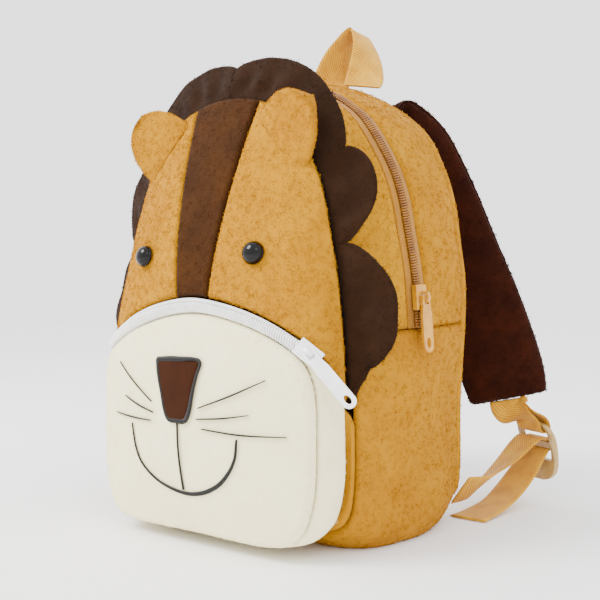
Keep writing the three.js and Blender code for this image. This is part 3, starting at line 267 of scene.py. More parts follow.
def muzzle_side(place, share):
    """Side and zip band of the muzzle pocket, from its front seam to the bag."""
    row = round_the_loop(MUZZLE, place)
    x = lerp(row["seam_x"], row["base_x"], share) * MUZZLE_HALF
    z = lerp(row["seam_z"], row["base_z"], share) * MUZZLE_HEIGHT
    base_y = np.minimum(PANEL_Y - SEAM_GAP, RIM_Y - row["depth"] * FACE_DEPTH)
    seam_y = MUZZLE_Y + row["curve"] * FACE_DEPTH + CLOTH_WALL + SEAM_GAP
    clear = 1.5 * SEAM_GAP * np.minimum(4 * row["depth"], 1)
    room = np.abs(base_y - MUZZLE_Y) / (RIM_Y - MUZZLE_Y)
    push = MUZZLE_BULGE * np.minimum(room, 1) * np.sin(np.pi * np.clip(share, 0, 1))
    out = unit(stack(x / MUZZLE_HALF, 0, (z / MUZZLE_HEIGHT - 0.55) * 1.2))
    return stack(x + out[..., 0] * push, lerp(seam_y, base_y - clear, share), z + out[..., 2] * push)


def muzzle_front(place, ring):
    row = round_the_loop(MUZZLE, place)
    x = row["seam_x"] * MUZZLE_HALF * ring
    z = lerp(MUZZLE_MIDDLE_Z, row["seam_z"] * MUZZLE_HEIGHT, ring)
    bend = row["curve"] * FACE_DEPTH * ring * ring
    return stack(x, MUZZLE_Y + bend - MUZZLE_DOME * (1 - np.abs(ring) ** MUZZLE_CROWN), z)


def back_skin(place, ring):
    x, z, _ = body_outline(place, 1)
    y = BACK_FACE + BACK_DOME * (1 - ring**3)
    return stack(x * ring, y, lerp(BACK_HEIGHT / 2, z, ring))


LATTICE_SIDE = 32
LATTICE = np.random.default_rng(3).uniform(-1, 1, (LATTICE_SIDE,) * 3)


def noise(points, size, seed=0):
    """Smooth random field from -1 to 1 with bumps of about that size."""
    p = points / size + 7.3 * seed
    cell = np.floor(p).astype(int)
    f = p - cell
    f = f * f * (3 - 2 * f)
    total = 0
    for corner in np.ndindex(2, 2, 2):
        weight = np.prod([f[..., k] if corner[k] else 1 - f[..., k] for k in range(3)], axis=0)
        at = (cell + corner) % LATTICE_SIDE
        total = total + weight * LATTICE[at[..., 0], at[..., 1], at[..., 2]]
    return total


def placed(name, data):
    """A new object in the scene."""
    obj = bpy.data.objects.new(name, data)
    bpy.context.scene.collection.objects.link(obj)
    return obj


def mesh_of(name, points, faces, slots=None):
    """A mesh object from points in millimetres; faces is a list of index arrays, slots their materials."""
    faces = [np.asarray(f, np.int32).reshape(-1, np.shape(f)[-1]) for f in faces]
    lengths = np.concatenate([np.full(len(f), f.shape[1]) for f in faces])
    loops = np.concatenate([f.ravel() for f in faces])
    mesh = bpy.data.meshes.new(name)
    mesh.vertices.add(len(points))
    mesh.vertices.foreach_set("co", (np.asarray(points) * MM).astype(np.float32).ravel())
    mesh.loops.add(len(loops))
    mesh.loops.foreach_set("vertex_index", loops)
    mesh.polygons.add(len(lengths))
    mesh.polygons.foreach_set("loop_start", np.concatenate([[0], np.cumsum(lengths)[:-1]]).astype(np.int32))
    if slots is not None:
        kinds = np.repeat(slots, [len(f) for f in faces])
        mesh.polygons.foreach_set("material_index", kinds.astype(np.int32))
    mesh.update(calc_edges=True)
    mesh.polygons.foreach_set("use_smooth", np.ones(len(lengths), bool))
    return placed(name, mesh)


def outward(points, sign):
    """Direction out of each grid point; sign says which side of the grid faces out."""
    return unit(np.cross(np.gradient(points, axis=0), np.gradient(points, axis=1))) * sign


def edge_distance(points):
    """Distance of each grid point from the nearest edge of its panel, along the grid's own lines."""
    nearest = None
    for axis in (0, 1):
        step = np.linalg.norm(np.diff(points, axis=axis), axis=-1)
        run = np.concatenate([np.zeros_like(np.take(step, [0], axis)), np.cumsum(step, axis)], axis)
        end = np.take(run, [-1], axis)
        near = np.minimum(run, end - run)
        nearest = near if nearest is None else np.minimum(nearest, near)
    return nearest


def quads(rows, columns, closed=False):
    i, j = np.meshgrid(np.arange(rows if closed else rows - 1), np.arange(columns - 1), indexing="ij")
    after = (i + 1) % rows
    a, b = i * columns + j, after * columns + j
    return np.stack([a, b, b + 1, a + 1], -1).reshape(-1, 4)


def sheet_faces(rows, columns):
    """Faces of a closed sheet: its front grid, the strip round its rim and its back grid."""
    front = quads(rows, columns)
    count = rows * columns
    grid = np.arange(count).reshape(rows, columns)
    rim = np.concatenate([grid[:-1, 0], grid[-1, :-1], grid[:0:-1, -1], grid[0, :0:-1]])
    after = np.roll(rim, -1)
    sides = np.stack([after, rim, rim + count, after + count], -1)
    return [front, sides, front[:, ::-1] + count]


def rolled(distance, width, depth):
    """How far cloth has rolled down at a distance from its edge."""
    share = 1 - np.clip(distance / width, 0, 1)
    return depth * (1 - np.sqrt(np.maximum(1 - share**2, 0)))


def cloth_relief(points, near, ripple, edge_depth, shape):
    """Height of cloth over its skin: ripples that gather near a seam, and an edge rolled down into it."""
    broad = shape["broad_height"] * noise(points, shape["broad"], shape["seed"])
    fine = shape["fine_height"] * noise(points, shape["fine"], shape["seed"] + 1)
    relief = ripple * (broad + fine * np.exp(-near / shape["fine_reach"]) - shape["sag"])
    return relief * np.clip(near / shape["calm_margin"], 0, 1) - rolled(near, shape["edge_width"], edge_depth)


def cloth_panel(name, skin, span, share, pitch, sign, wall=CLOTH_WALL, roll=2.2, ripple=1, sink=0):
    """A closed sheet of cloth whose outer face rolls down into its seams and ripples beside them."""
    fine = skin(np.linspace(*span, 60)[:, None], np.linspace(*share, 12)[None, :])
    size_u = np.linalg.norm(np.diff(fine, axis=0), axis=-1).sum(0).max()
    size_v = np.linalg.norm(np.diff(fine, axis=1), axis=-1).sum(1).max()
    nu, nv = max(int(size_u / pitch), 4), max(int(size_v / pitch), 4)
    points = skin(np.linspace(*span, nu + 1)[:, None], np.linspace(*share, nv + 1)[None, :])
    normal = outward(points, sign)
    near = edge_distance(points)
    relief = cloth_relief(points, near, ripple, roll * wall / CLOTH_WALL, PANEL_RIPPLES) - sink
    outer = points + normal * relief[..., None]
    outer[..., 2] = np.maximum(outer[..., 2], CLOTH_FLOOR)
    inner = points - normal * (wall + sink)
    faces = sheet_faces(nu + 1, nv + 1)
    if sign < 0:
        faces = [f[:, ::-1] for f in faces]
    return mesh_of(name, np.concatenate([outer, inner]).reshape(-1, 3), faces, (0, 1, 1))


def round_slab(name, skin, loop, segments, rings, thickness, roll=2.4, ripple=1):
    """A closed round panel between its middle and its seam, facing away from the bag."""
    place = np.linspace(-loop / 2, loop / 2, segments, endpoint=False)[:, None]
    ring = np.linspace(0.006, 1, rings)[None, :]
    outer = skin(place, ring)
    facing = np.sign(np.mean(outer[..., 1]))
    near = (1 - ring) * np.linalg.norm(outer[:, -1] - outer[:, 0], axis=-1)[:, None]
    relief = cloth_relief(outer, near, ripple, roll, SLAB_RIPPLES)
    inner = outer.copy()
    inner[..., 1] -= facing * thickness
    outer[..., 1] += facing * relief
    count = segments * rings
    front = quads(segments, rings, closed=True)
    rim = np.arange(segments) * rings + rings - 1
    after = np.roll(rim, -1)
    hub = np.arange(segments) * rings
    points = np.concatenate([np.concatenate([outer, inner]).reshape(-1, 3),
                             outer[:, 0].mean(0)[None], inner[:, 0].mean(0)[None]])
    fan = np.stack([np.full(segments, 2 * count), hub, np.roll(hub, -1)], -1)
    back_fan = np.stack([np.full(segments, 2 * count + 1), np.roll(hub, -1) + count, hub + count], -1)
    sides = np.stack([rim, rim + count, after + count, after], -1)
    faces = [front[:, ::-1], fan, sides, front + count, back_fan]
    if facing < 0:
        faces = [f[:, ::-1] for f in faces]
    obj = mesh_of(name, points, faces, (0, 0, 1, 1, 1))
    turned_outwards(obj)
    return obj


def mesh_triangles(mesh):
    """Points of a mesh and the point numbers of its triangles."""
    points = np.empty(len(mesh.vertices) * 3)
    mesh.vertices.foreach_get("co", points)
    mesh.calc_loop_triangles()
    corners = np.empty(len(mesh.loop_triangles) * 3, np.int32)
    mesh.loop_triangles.foreach_get("vertices", corners)
    return points.reshape(-1, 3), corners.reshape(-1, 3)


def turned_outwards(obj):
    """Turns the faces of a closed mesh outwards where its volume came out negative."""
    points, corners = mesh_triangles(obj.data)
    a, b, c = (points[corners[:, k]] for k in range(3))
    if (a * np.cross(b, c)).sum() < 0:
        obj.data.flip_normals()


def swept(name, points, across, up, section):
    """A closed bar: section is an array of (steps, corners, 2) along the two cross directions."""
    ring = points[:, None] + across[:, None] * section[..., :1] + up[:, None] * section[..., 1:]
    steps, corners = ring.shape[:2]
    flat = ring.reshape(-1, 3)
    i, n = np.meshgrid(np.arange(steps - 1), np.arange(corners), indexing="ij")
    a, b = i * corners + n, i * corners + (n + 1) % corners
    sides = np.stack([a, b, b + corners, a + corners], -1).reshape(-1, 4)
    ends = np.stack([flat[:corners].mean(0), flat[-corners:].mean(0)])
    edge = np.arange(corners)
    after = np.roll(edge, -1)
    hub = np.full(corners, steps * corners)
    last = (steps - 1) * corners
    start_fan = np.stack([hub, after, edge], -1)
    end_fan = np.stack([hub + 1, edge + last, after + last], -1)
    obj = mesh_of(name, np.concatenate([flat, ends]), [sides, start_fan, end_fan])
    turned_outwards(obj)
    return obj


def smooth_path(points, count):
    """Centripetal Catmull-Rom points through a list, evenly in its parameter."""
    points = np.asarray(points, float)
    last = len(points) - 1
    padded = np.concatenate([2 * points[:1] - points[1:2], points, 2 * points[-1:] - points[-2:-1]])
    places = np.linspace(0, last, count)
    index = np.minimum(np.floor(places).astype(int), last - 1)
    t = places - index
    near = np.stack([padded[index + k] for k in range(4)])
    gap = np.maximum(np.linalg.norm(np.diff(near, axis=0), axis=-1, keepdims=True), 1e-6) ** 0.5
    one_gap = np.diff(near, axis=0) / gap
    two_gaps = (near[2:] - near[:-2]) / (gap[:-1] + gap[1:])
    slopes = (one_gap[:-1] - two_gaps + one_gap[1:]) * gap[1]
    return hermite(near[1], near[2], *slopes, t[:, None])


def run_along(path):
    """Length along a path up to each of its points."""
    return np.concatenate([[0], np.cumsum(np.linalg.norm(np.diff(path, axis=0), axis=-1))])


def pile(name, base, density, length, width, lean, clump, seed):
    """Short pile on a mesh's first material: clumps of blades that curl round a common middle."""
    rng = np.random.default_rng(seed)
    points, corners = mesh_triangles(base.data)
    kind = np.empty(len(corners), np.int32)
    base.data.loop_triangles.foreach_get("material_index", kind)
    a, b, c = (points[corners[kind == 0][:, k]] / MM for k in range(3))
    cross = np.cross(b - a, c - a)
    area = np.linalg.norm(cross, axis=-1) / 2
    count = int(area.sum() * density / CLUMP_BLADES)
    pick = rng.choice(len(area), count, p=area / area.sum())
    u, v = rng.random((2, count, 1))
    flip = u + v > 1
    u, v = np.where(flip, 1 - u, u), np.where(flip, 1 - v, v)
    middle = a[pick] + u * (b - a)[pick] + v * (c - a)[pick]
    normal = unit(cross[pick])
    side = unit(np.cross(normal, rng.normal(size=(count, 3))))
    other = np.cross(normal, side)
    angle = rng.random((count, CLUMP_BLADES, 1)) * 2 * np.pi
    radius = clump * np.sqrt(rng.random((count, CLUMP_BLADES, 1)))
    away = side[:, None] * np.cos(angle) + other[:, None] * np.sin(angle)
    swirl = np.cross(normal[:, None], away)
    turn = rng.choice((-1.0, 1.0), (count, 1, 1))
    root = middle[:, None] + away * radius - normal[:, None] * ROOT_DEPTH
    reach = length * rng.uniform(*LENGTH_SPREAD, (count, CLUMP_BLADES, 1))
    bend = (turn * swirl * LEAN_SWIRL - away * LEAN_GATHER) * reach * lean
    tip = root + normal[:, None] * reach * (1 - LEAN_LOSS * lean) + bend
    facing = normal[:, None] + BLADE_TWIST * rng.normal(size=root.shape)
    wide = unit(np.cross(facing, tip - root)) * width / 2
    blades = np.stack([root - wide, root + wide, tip], 2).reshape(-1, 3)
    blades[:, 2] = np.maximum(blades[:, 2], PILE_FLOOR)
    return mesh_of(name, blades, [np.arange(len(blades)).reshape(-1, 3)])


def short_bars(name, paths, along, out, corner):
    """Many short bars in one mesh: paths is (bars, steps, 3), corner the section in along and out."""
    bars, steps = paths.shape[:2]
    sides = len(corner)
    ring = (paths[:, :, None] + along[:, None, None] * corner[None, None, :, :1]
            + out[:, None, None] * corner[None, None, :, 1:])
    first = np.arange(bars)[:, None] * steps * sides
    base = first[..., None] + np.arange(steps - 1)[None, :, None] * sides
    n = np.arange(sides)[None, None, :]
    after = (n + 1) % sides
    faces = np.stack([base + n, base + after, base + after + sides, base + n + sides], -1).reshape(-1, 4)
    ends = np.concatenate([first + np.arange(sides)[::-1], first + (steps - 1) * sides + np.arange(sides)])
    return mesh_of(name, ring.reshape(-1, 3), [faces, ends])


def set_weave(obj, places):
    """Stores across-and-along places in millimetres, which the woven materials read their ribs from."""
    attribute = obj.data.attributes.new("weave", "FLOAT_VECTOR", "POINT")
    attribute.data.foreach_set("vector", places.astype(np.float32).ravel())


def linear(r, g, b):
    """A colour as seen on the screen, from 0 to 255, as Blender's linear values."""
    return tuple((v / 255) ** 2.2 for v in (r, g, b)) + (1,)


def new_material(name, roughness, sheen=0.0, coat=0.0, specular=0.5):
    material = bpy.data.materials.new(name)
    material.use_nodes = True
    shader = material.node_tree.nodes["Principled BSDF"]
    shader.inputs["Roughness"].default_value = roughness
    shader.inputs["Sheen Weight"].default_value = sheen
    shader.inputs["Sheen Roughness"].default_value = 0.5
    shader.inputs["Specular IOR Level"].default_value = specular
    shader.inputs["Coat Weight"].default_value = coat
    return material, material.node_tree, shader


def ramp_between(tree, factor, dark, light, low=0.35, high=0.65):
    ramp = tree.nodes.new("ShaderNodeValToRGB")
    for element, place, tone in zip(ramp.color_ramp.elements, (low, high), (dark, light)):
        element.position = place
        element.color = tone
    tree.links.new(factor, ramp.inputs["Fac"])
    return ramp.outputs["Color"]


def noise_node(tree, size_mm, detail=3):
    """Noise in object space with blotches of about that size."""
    where = tree.nodes.new("ShaderNodeTexCoord")
    texture = tree.nodes.new("ShaderNodeTexNoise")
    texture.inputs["Scale"].default_value = 1 / (size_mm * MM)
    texture.inputs["Detail"].default_value = detail
    tree.links.new(where.outputs["Object"], texture.inputs["Vector"])
    return texture.outputs["Fac"]


def mixed(tree, a, b, share):
    node = tree.nodes.new("ShaderNodeMix")
    node.data_type = "RGBA"
    node.inputs["Factor"].default_value = share
    tree.links.new(a, node.inputs["A"])
    tree.links.new(b, node.inputs["B"])
    return node.outputs["Result"]


def bumped(tree, shader, height, strength, distance_mm):
    bump = tree.nodes.new("ShaderNodeBump")
    bump.inputs["Strength"].default_value = strength
    bump.inputs["Distance"].default_value = distance_mm * MM
    tree.links.new(height, bump.inputs["Height"])
    tree.links.new(bump.outputs["Normal"], shader.inputs["Normal"])


def plush(name, dark, light, tuft=2.2, sheen=0.25, patch=16):
    """Pile cloth: each blade its own tone, with broader blotches over them."""
    material, tree, shader = new_material(name, 0.9, sheen, specular=0.1)
    island = tree.nodes.new("ShaderNodeNewGeometry")
    blades = ramp_between(tree, island.outputs["Random Per Island"], dark, light, 0, 1)
    patches = ramp_between(tree, noise_node(tree, patch, 4), dark, light)
    tree.links.new(mixed(tree, blades, patches, 0.4), shader.inputs["Base Color"])
    bumped(tree, shader, noise_node(tree, tuft, 4), 0.35, 0.5)
    return material


# Scale at which the wave texture repeats once a unit
ONE_WAVE = 0.314


def woven(name, dark, light, thread=1.1):
    """Webbing and tape: ribs across the strap, read from its own across-and-along coordinates."""
    material, tree, shader = new_material(name, 0.75, 0.15, specular=0.2)
    where = tree.nodes.new("ShaderNodeAttribute")
    where.attribute_name = "weave"
    wave = tree.nodes.new("ShaderNodeTexWave")
    wave.wave_type, wave.bands_direction = "BANDS", "DIAGONAL"
    wave.inputs["Scale"].default_value = ONE_WAVE / thread
    wave.inputs["Distortion"].default_value = 0.6
    tree.links.new(where.outputs["Vector"], wave.inputs["Vector"])
    colour = ramp_between(tree, wave.outputs["Fac"], dark, light, 0.1, 0.9)
    soft = ramp_between(tree, noise_node(tree, 9), dark, light)
    tree.links.new(mixed(tree, colour, soft, 0.4), shader.inputs["Base Color"])
    bumped(tree, shader, wave.outputs["Fac"], 0.5, 0.4)
    return material


def plain(name, dark, light, roughness, coat=0.0, grain=0.5, specular=0.5):
    material, tree, shader = new_material(name, roughness, coat=coat, specular=specular)
    tree.links.new(ramp_between(tree, noise_node(tree, 6), dark, light), shader.inputs["Base Color"])
    bumped(tree, shader, noise_node(tree, grain), 0.12, 0.1)
    return material


# Dark and light tone of each material in screen colours, and how it differs from its kind
PLUSH_TONES = {
    "golden_plush": ((152, 98, 0), (178, 125, 1), {"patch": 26, "sheen": 0.02}),
    "brown_plush": ((48, 27, 3), (70, 41, 8), {"tuft": 1.2, "sheen": 0.04}),
    "mane_cloth": ((32, 19, 9), (46, 29, 16), {"tuft": 1.2, "sheen": 0.03}),
    "pad_plush": ((34, 12, 3), (60, 27, 9), {"tuft": 1.6, "sheen": 0.05}),
    "cream_cloth": ((244, 232, 182), (250, 241, 200), {"tuft": 1.6, "sheen": 0.05}),
    "nose_cloth": ((42, 20, 3), (56, 29, 6), {"tuft": 0.9, "sheen": 0.03}),
}
WOVEN_TONES = {
    "webbing": ((176, 116, 8), (220, 166, 36), {}),
    "golden_tape": ((140, 88, 8), (172, 118, 18), {"thread": 0.7}),
    "white_tape": ((226, 225, 222), (250, 250, 248), {"thread": 0.7}),
}
PLAIN_TONES = {
    "lining": ((150, 92, 14), (170, 110, 24), {"roughness": 0.9}),
    "thread": ((6, 4, 4), (14, 11, 10), {"roughness": 0.45}),
    "eye_plastic": ((8, 7, 8), (16, 13, 14), {"roughness": 0.12, "grain": 3, "specular": 0.22}),
    "golden_zip_plastic": ((118, 70, 6), (150, 96, 14), {"roughness": 0.42}),
    "golden_zip_metal": ((182, 120, 8), (204, 144, 16), {"roughness": 0.32, "coat": 0.3}),
    "white_zip_plastic": ((232, 232, 230), (250, 250, 250), {"roughness": 0.4}),
    "white_zip_metal": ((238, 238, 238), (252, 252, 252), {"roughness": 0.3, "coat": 0.3}),
    "buckle_plastic": ((150, 118, 62), (174, 142, 84), {"roughness": 0.38, "coat": 0.2}),
}
MATERIALS = {}
for make, tones in ((plush, PLUSH_TONES), (woven, WOVEN_TONES), (plain, PLAIN_TONES)):
    for tone, (dark_tone, light_tone, rest) in tones.items():
        MATERIALS[tone] = make(tone, linear(*dark_tone), linear(*light_tone), **rest)


def finished(obj, slot, nodes=()):
    """Gives a piece its material, body and slot, and hides the CAD nodes that it stands for."""
    obj.data.materials.clear()
    obj.data.materials.append(MATERIALS[slot])
    obj.data.materials.append(MATERIALS["lining"])
    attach(obj, "bag")
    if nodes:
        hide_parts(*nodes)
    return obj


def plush_piece(obj, slot, nodes, seed, density=0.95, length=1.2, width=0.6, lean=0.8, clump=1.8):
    """Finishes a piece and covers it with pile: density in blades a square millimetre, clump a radius."""
    finished(obj, slot, nodes)
    finished(pile(obj.name + "_pile", obj, density, length, width, lean, clump, seed), slot)


def mirrored(obj):
    """The left piece that mirrors a right one."""
    name = obj.name.replace("right", "left")
    copy = placed(name, obj.data.copy())
    copy.data.name = name
    copy.data.transform(Matrix.Scale(-1, 4, Vector((1, 0, 0))))
    copy.data.flip_normals()
    return copy


def plush_pair(right, slot, node, seed, **blades):
    """Finishes a right piece and its left one, each with pile of its own, and returns both."""
    left = mirrored(right)
    plush_piece(right, slot, [node + "_right"], seed, **blades)
    plush_piece(left, slot, [node + "_left"], seed + 1, **blades)
    return right, left


def build_body():
    zip_half = ZIP_OPENING / 2 / (BACK_Y - FRONT_Y)
    front = cloth_panel("front_strip", body_skin, TOP_SPAN, (0, ZIP_PLACE - zip_half), BODY_PITCH, -1)
    plush_piece(front, "golden_plush", ["zip_strip_front"], 2)
    rear = cloth_panel("rear_strip", body_skin, TOP_SPAN, (ZIP_PLACE + zip_half, 1), BODY_PITCH, -1)
    plush_piece(rear, "golden_plush", ["zip_strip_rear"], 3)
    gusset = cloth_panel("lower_side", body_skin, LOW_SPAN, (0, 1), BODY_PITCH, -1)
    plush_piece(gusset, "golden_plush", ["lower_gusset"], 4)
    panel = cloth_panel("inner_front", front_panel_skin, (-PANEL_END, PANEL_END), (0, 0.995), 4, -1,
                        ripple=0.4)
    plush_piece(panel, "golden_plush", ["front_panel"], 5, density=0.15)
    back = round_slab("padded_back", back_skin, 2 * TOP_ROW, 210, 46, BACK_PADDING + 2)
    plush_piece(back, "golden_plush", ["back_panel"], 6, density=0.8)


def build_face():
    start = STRIPE_SHARE + STRIPE_GAP
    for name, span, seed in (("right", (start, FACE_END), 7), ("left", (-FACE_END, -start), 8)):
        half = cloth_panel("face_half_" + name, face_skin, span, FACE_RISE, 1.8, 1, ripple=0.7)
        plush_piece(half, "golden_plush", ["face_" + name], seed, density=1.7, width=0.5)
    span = (-STRIPE_SHARE + STRIPE_GAP, STRIPE_SHARE - STRIPE_GAP)
    stripe = cloth_panel("brown_stripe", face_skin, span, FACE_RISE, 1.2, 1, roll=1.8, ripple=0.3)
    plush_piece(stripe, "brown_plush", ["face_stripe"], 9, density=1.8, length=1, width=0.45, lean=1)


def face_seat(x, z, guess):
    """Place and outward direction on the face over a point of the front view."""
    u, v, step = guess[0], guess[1], 1e-3
    for _ in range(30):
        here = face_skin(u, v)
        by_u, by_v = (face_skin(u + step, v) - here) / step, (face_skin(u, v + step) - here) / step
        det = by_u[0] * by_v[2] - by_v[0] * by_u[2]
        miss_x, miss_z = x - here[0], z - here[2]
        u += 0.7 * (miss_x * by_v[2] - by_v[0] * miss_z) / det
        v += 0.7 * (by_u[0] * miss_z - miss_x * by_u[2]) / det
    return face_skin(u, v), unit(np.cross(by_u, by_v))


def build_eyes():
    """Glossy domes with a thin rim, pressed into the pile."""
    for side, name in ((-1, "left"), (1, "right")):
        seat, out = face_seat(side * EYE_SPACING / 2, EYE_HEIGHT, (side * 0.4, 0.35))
        radius = EYE_DIAMETER / 2
        angle = np.linspace(0, np.pi / 2 - 0.02, 14)
        spread = np.concatenate([EYE_RIM_SPREAD, np.cos(angle)]) * radius
        height = np.concatenate([EYE_RIM_HEIGHT, EYE_RIM_TOP + radius * EYE_DOME * np.sin(angle)])
        across = unit(np.cross(out, (0, 0, 1.0)))
        up = np.cross(across, out)
        turn = round_turn(40)
        ring = np.stack([np.cos(turn), np.sin(turn)], -1)[None] * spread[:, None, None]
        points = seat + out * (height[:, None] + SEAM_GAP)
        ones = np.ones((len(points), 1))
        dome = swept("eye_dome_" + name, points, across * ones, up * ones, ring)
        finished(dome, "eye_plastic", ["eye_" + name])


def seam_angle_table():
    places = np.linspace(0, ARCH_ROW, 400)
    seam = muzzle_front(places, np.ones(400))
    return places, np.arctan2(seam[:, 0], MUZZLE_MIDDLE_Z - seam[:, 2])


SEAM_PLACES, SEAM_ANGLES = seam_angle_table()


def muzzle_surface(x, z):
    """Point of the muzzle over a place in the front view."""
    x, z = np.asarray(x, float), np.asarray(z, float)
    angle = np.abs(np.arctan2(x, MUZZLE_MIDDLE_Z - z))
    place = np.interp(angle, SEAM_ANGLES, SEAM_PLACES)
    edge = muzzle_front(place, np.ones_like(place))
    full = np.hypot(edge[..., 0], edge[..., 2] - MUZZLE_MIDDLE_Z)
    ring = np.clip(np.hypot(x, z - MUZZLE_MIDDLE_Z) / full, 0, 1)
    return stack(x, muzzle_front(place, ring)[..., 1], z)


def build_muzzle():
    front = round_slab("muzzle_face", muzzle_front, 2 * ARCH_ROW, 210, 50, CLOTH_WALL, ripple=0.45)
    plush_piece(front, "cream_cloth", ["muzzle_front"], 12, density=1.5, length=0.9, width=0.4, lean=1)
    band = (-POCKET_ZIP_ROW, POCKET_ZIP_ROW)
    side = cloth_panel("muzzle_side_band", muzzle_side, band, (0, 1), 1.6, -1, ripple=0.5)
    plush_piece(side, "cream_cloth", ["muzzle_gusset"], 13, density=1.3, length=0.9, width=0.4, lean=1)


def stitched(name, xz, width, lift=0.5):
    """A satin line of thread on the muzzle: short threads side by side across a path."""
    path = smooth_path([(x, 0, z) for x, z in xz], 200)
    run = run_along(path)
    count = max(int(run[-1] / STITCH_PITCH), 2)
    at = np.linspace(0, run[-1], count)
    x, z = np.interp(at, run, path[:, 0]), np.interp(at, run, path[:, 2])
    along = unit(stack(np.gradient(x), 0, np.gradient(z)))
    side = stack(along[:, 2], 0, -along[:, 0])
    widths = np.interp(at, np.linspace(0, run[-1], len(width)), width) / 2
    thread = []
    for s in np.linspace(-1, 1, 7):
        seat = muzzle_surface(x + side[:, 0] * s * widths, z + side[:, 2] * s * widths)
        seat[:, 1] -= lift + STITCH_CROWN * math.sqrt(1 - s * s * 0.98)
        thread.append(seat + along * STITCH_SLANT * s)
    corner = np.array([(1, 0), (0, 1), (-1, 0), (0, -1)]) * THREAD_RADIUS
    forward = np.broadcast_to((0, -1.0, 0), along.shape)
    return finished(short_bars(name, np.stack(thread, 1), along, forward, corner), "thread")


# Embroidered lines of the muzzle in the front view: points in x and z, and widths along the line
NOSE_OUTLINE = ((-16, 103.6), (0, 104.4), (16, 103.6), (14.4, 96), (11.6, 86), (8.8, 75.5), (6, 71.4),
                (0, 71), (-6, 71.4), (-8.8, 75.5), (-11.6, 86), (-14.4, 96), (-16, 103.6))
NOSE_EDGE_WIDTHS = (2.8, 3.2, 2.8, 1.9, 1.8, 1.9, 2.6, 2.9, 2.6, 1.9, 1.8, 1.9, 2.8)
STITCHED_LINES = {
    "philtrum": (((0, 71), (-0.3, 55), (0.4, 33)), (0.9, 1.1, 1.3)),
    "mouth": (((-39, 66), (-36, 54), (-31, 45), (-22, 37.5), (-13, 33.5), (1, 31), (11, 32), (20, 35),
               (28.5, 40), (35, 47), (38.5, 54), (39.8, 64)),
              (0.7, 1.0, 1.1, 1.4, 1.9, 2.3, 2.5, 2.3, 1.6, 1.0)),
    "whisker_right_top": (((15.5, 79), (35, 86.2), (56, 95.5)), (0.7, 1.0, 0.5)),
    "whisker_right_middle": (((14.5, 73), (31, 74.6), (47, 77.2)), (0.7, 1.0, 0.5)),
    "whisker_right_low": (((18, 68), (42, 66.6), (67, 67)), (0.7, 1.0, 0.5)),
    "whisker_left_top": (((-20.5, 80), (-36, 89), (-53, 100)), (0.5, 0.7, 0.4)),
    "whisker_left_middle": (((-19, 74), (-32, 76.8), (-46, 81)), (0.7, 1.0, 0.5)),
    "whisker_left_low": (((-21, 69.3), (-38, 69.5), (-57, 70.5)), (0.7, 1.0, 0.5)),
}


def build_nose():
    share = np.linspace(0, 1, NOSE_GRID)
    a, b = np.meshgrid(share, share, indexing="ij")
    z = lerp(NOSE_BOTTOM, NOSE_TOP, b)
    x = lerp(-0.5, 0.5, a) * lerp(NOSE_BOTTOM_WIDTH, NOSE_TOP_WIDTH, b**0.85)
    inner = muzzle_surface(x, z)
    inner[..., 1] -= SEAM_GAP
    outer = inner.copy()
    outer[..., 1] -= NOSE_THICKNESS * (1 - rolled(edge_distance(inner), 2, 0.5))
    points = np.concatenate([outer, inner]).reshape(-1, 3)
    patch = mesh_of("nose_patch", points, sheet_faces(NOSE_GRID, NOSE_GRID))
    turned_outwards(patch)
    finished(patch, "nose_cloth", ["nose"])
    stitched("nose_edge", NOSE_OUTLINE, NOSE_EDGE_WIDTHS, lift=1)
    for name, (points, width) in STITCHED_LINES.items():
        stitched(name, points, width)


def ear_frame():
    seat = face_skin(EAR_ACROSS, EAR_RISE) + (0, EAR_SET_BACK, 0)
    tilt, step = 0.06, 0.004
    along = unit(face_skin(EAR_ACROSS + tilt, EAR_RISE) - face_skin(EAR_ACROSS - tilt, EAR_RISE))
    by_u = face_skin(EAR_ACROSS + step, EAR_RISE) - face_skin(EAR_ACROSS - step, EAR_RISE)
    by_v = face_skin(EAR_ACROSS, EAR_RISE + step) - face_skin(EAR_ACROSS, EAR_RISE - step)
    stand = unit(unit(np.cross(by_u, by_v)) * EAR_LEAN + outline_outward(rim_place(EAR_ACROSS), 0))
    stand = unit(stand - along * (stand @ along))
    return seat, along, stand, np.cross(stand, along)


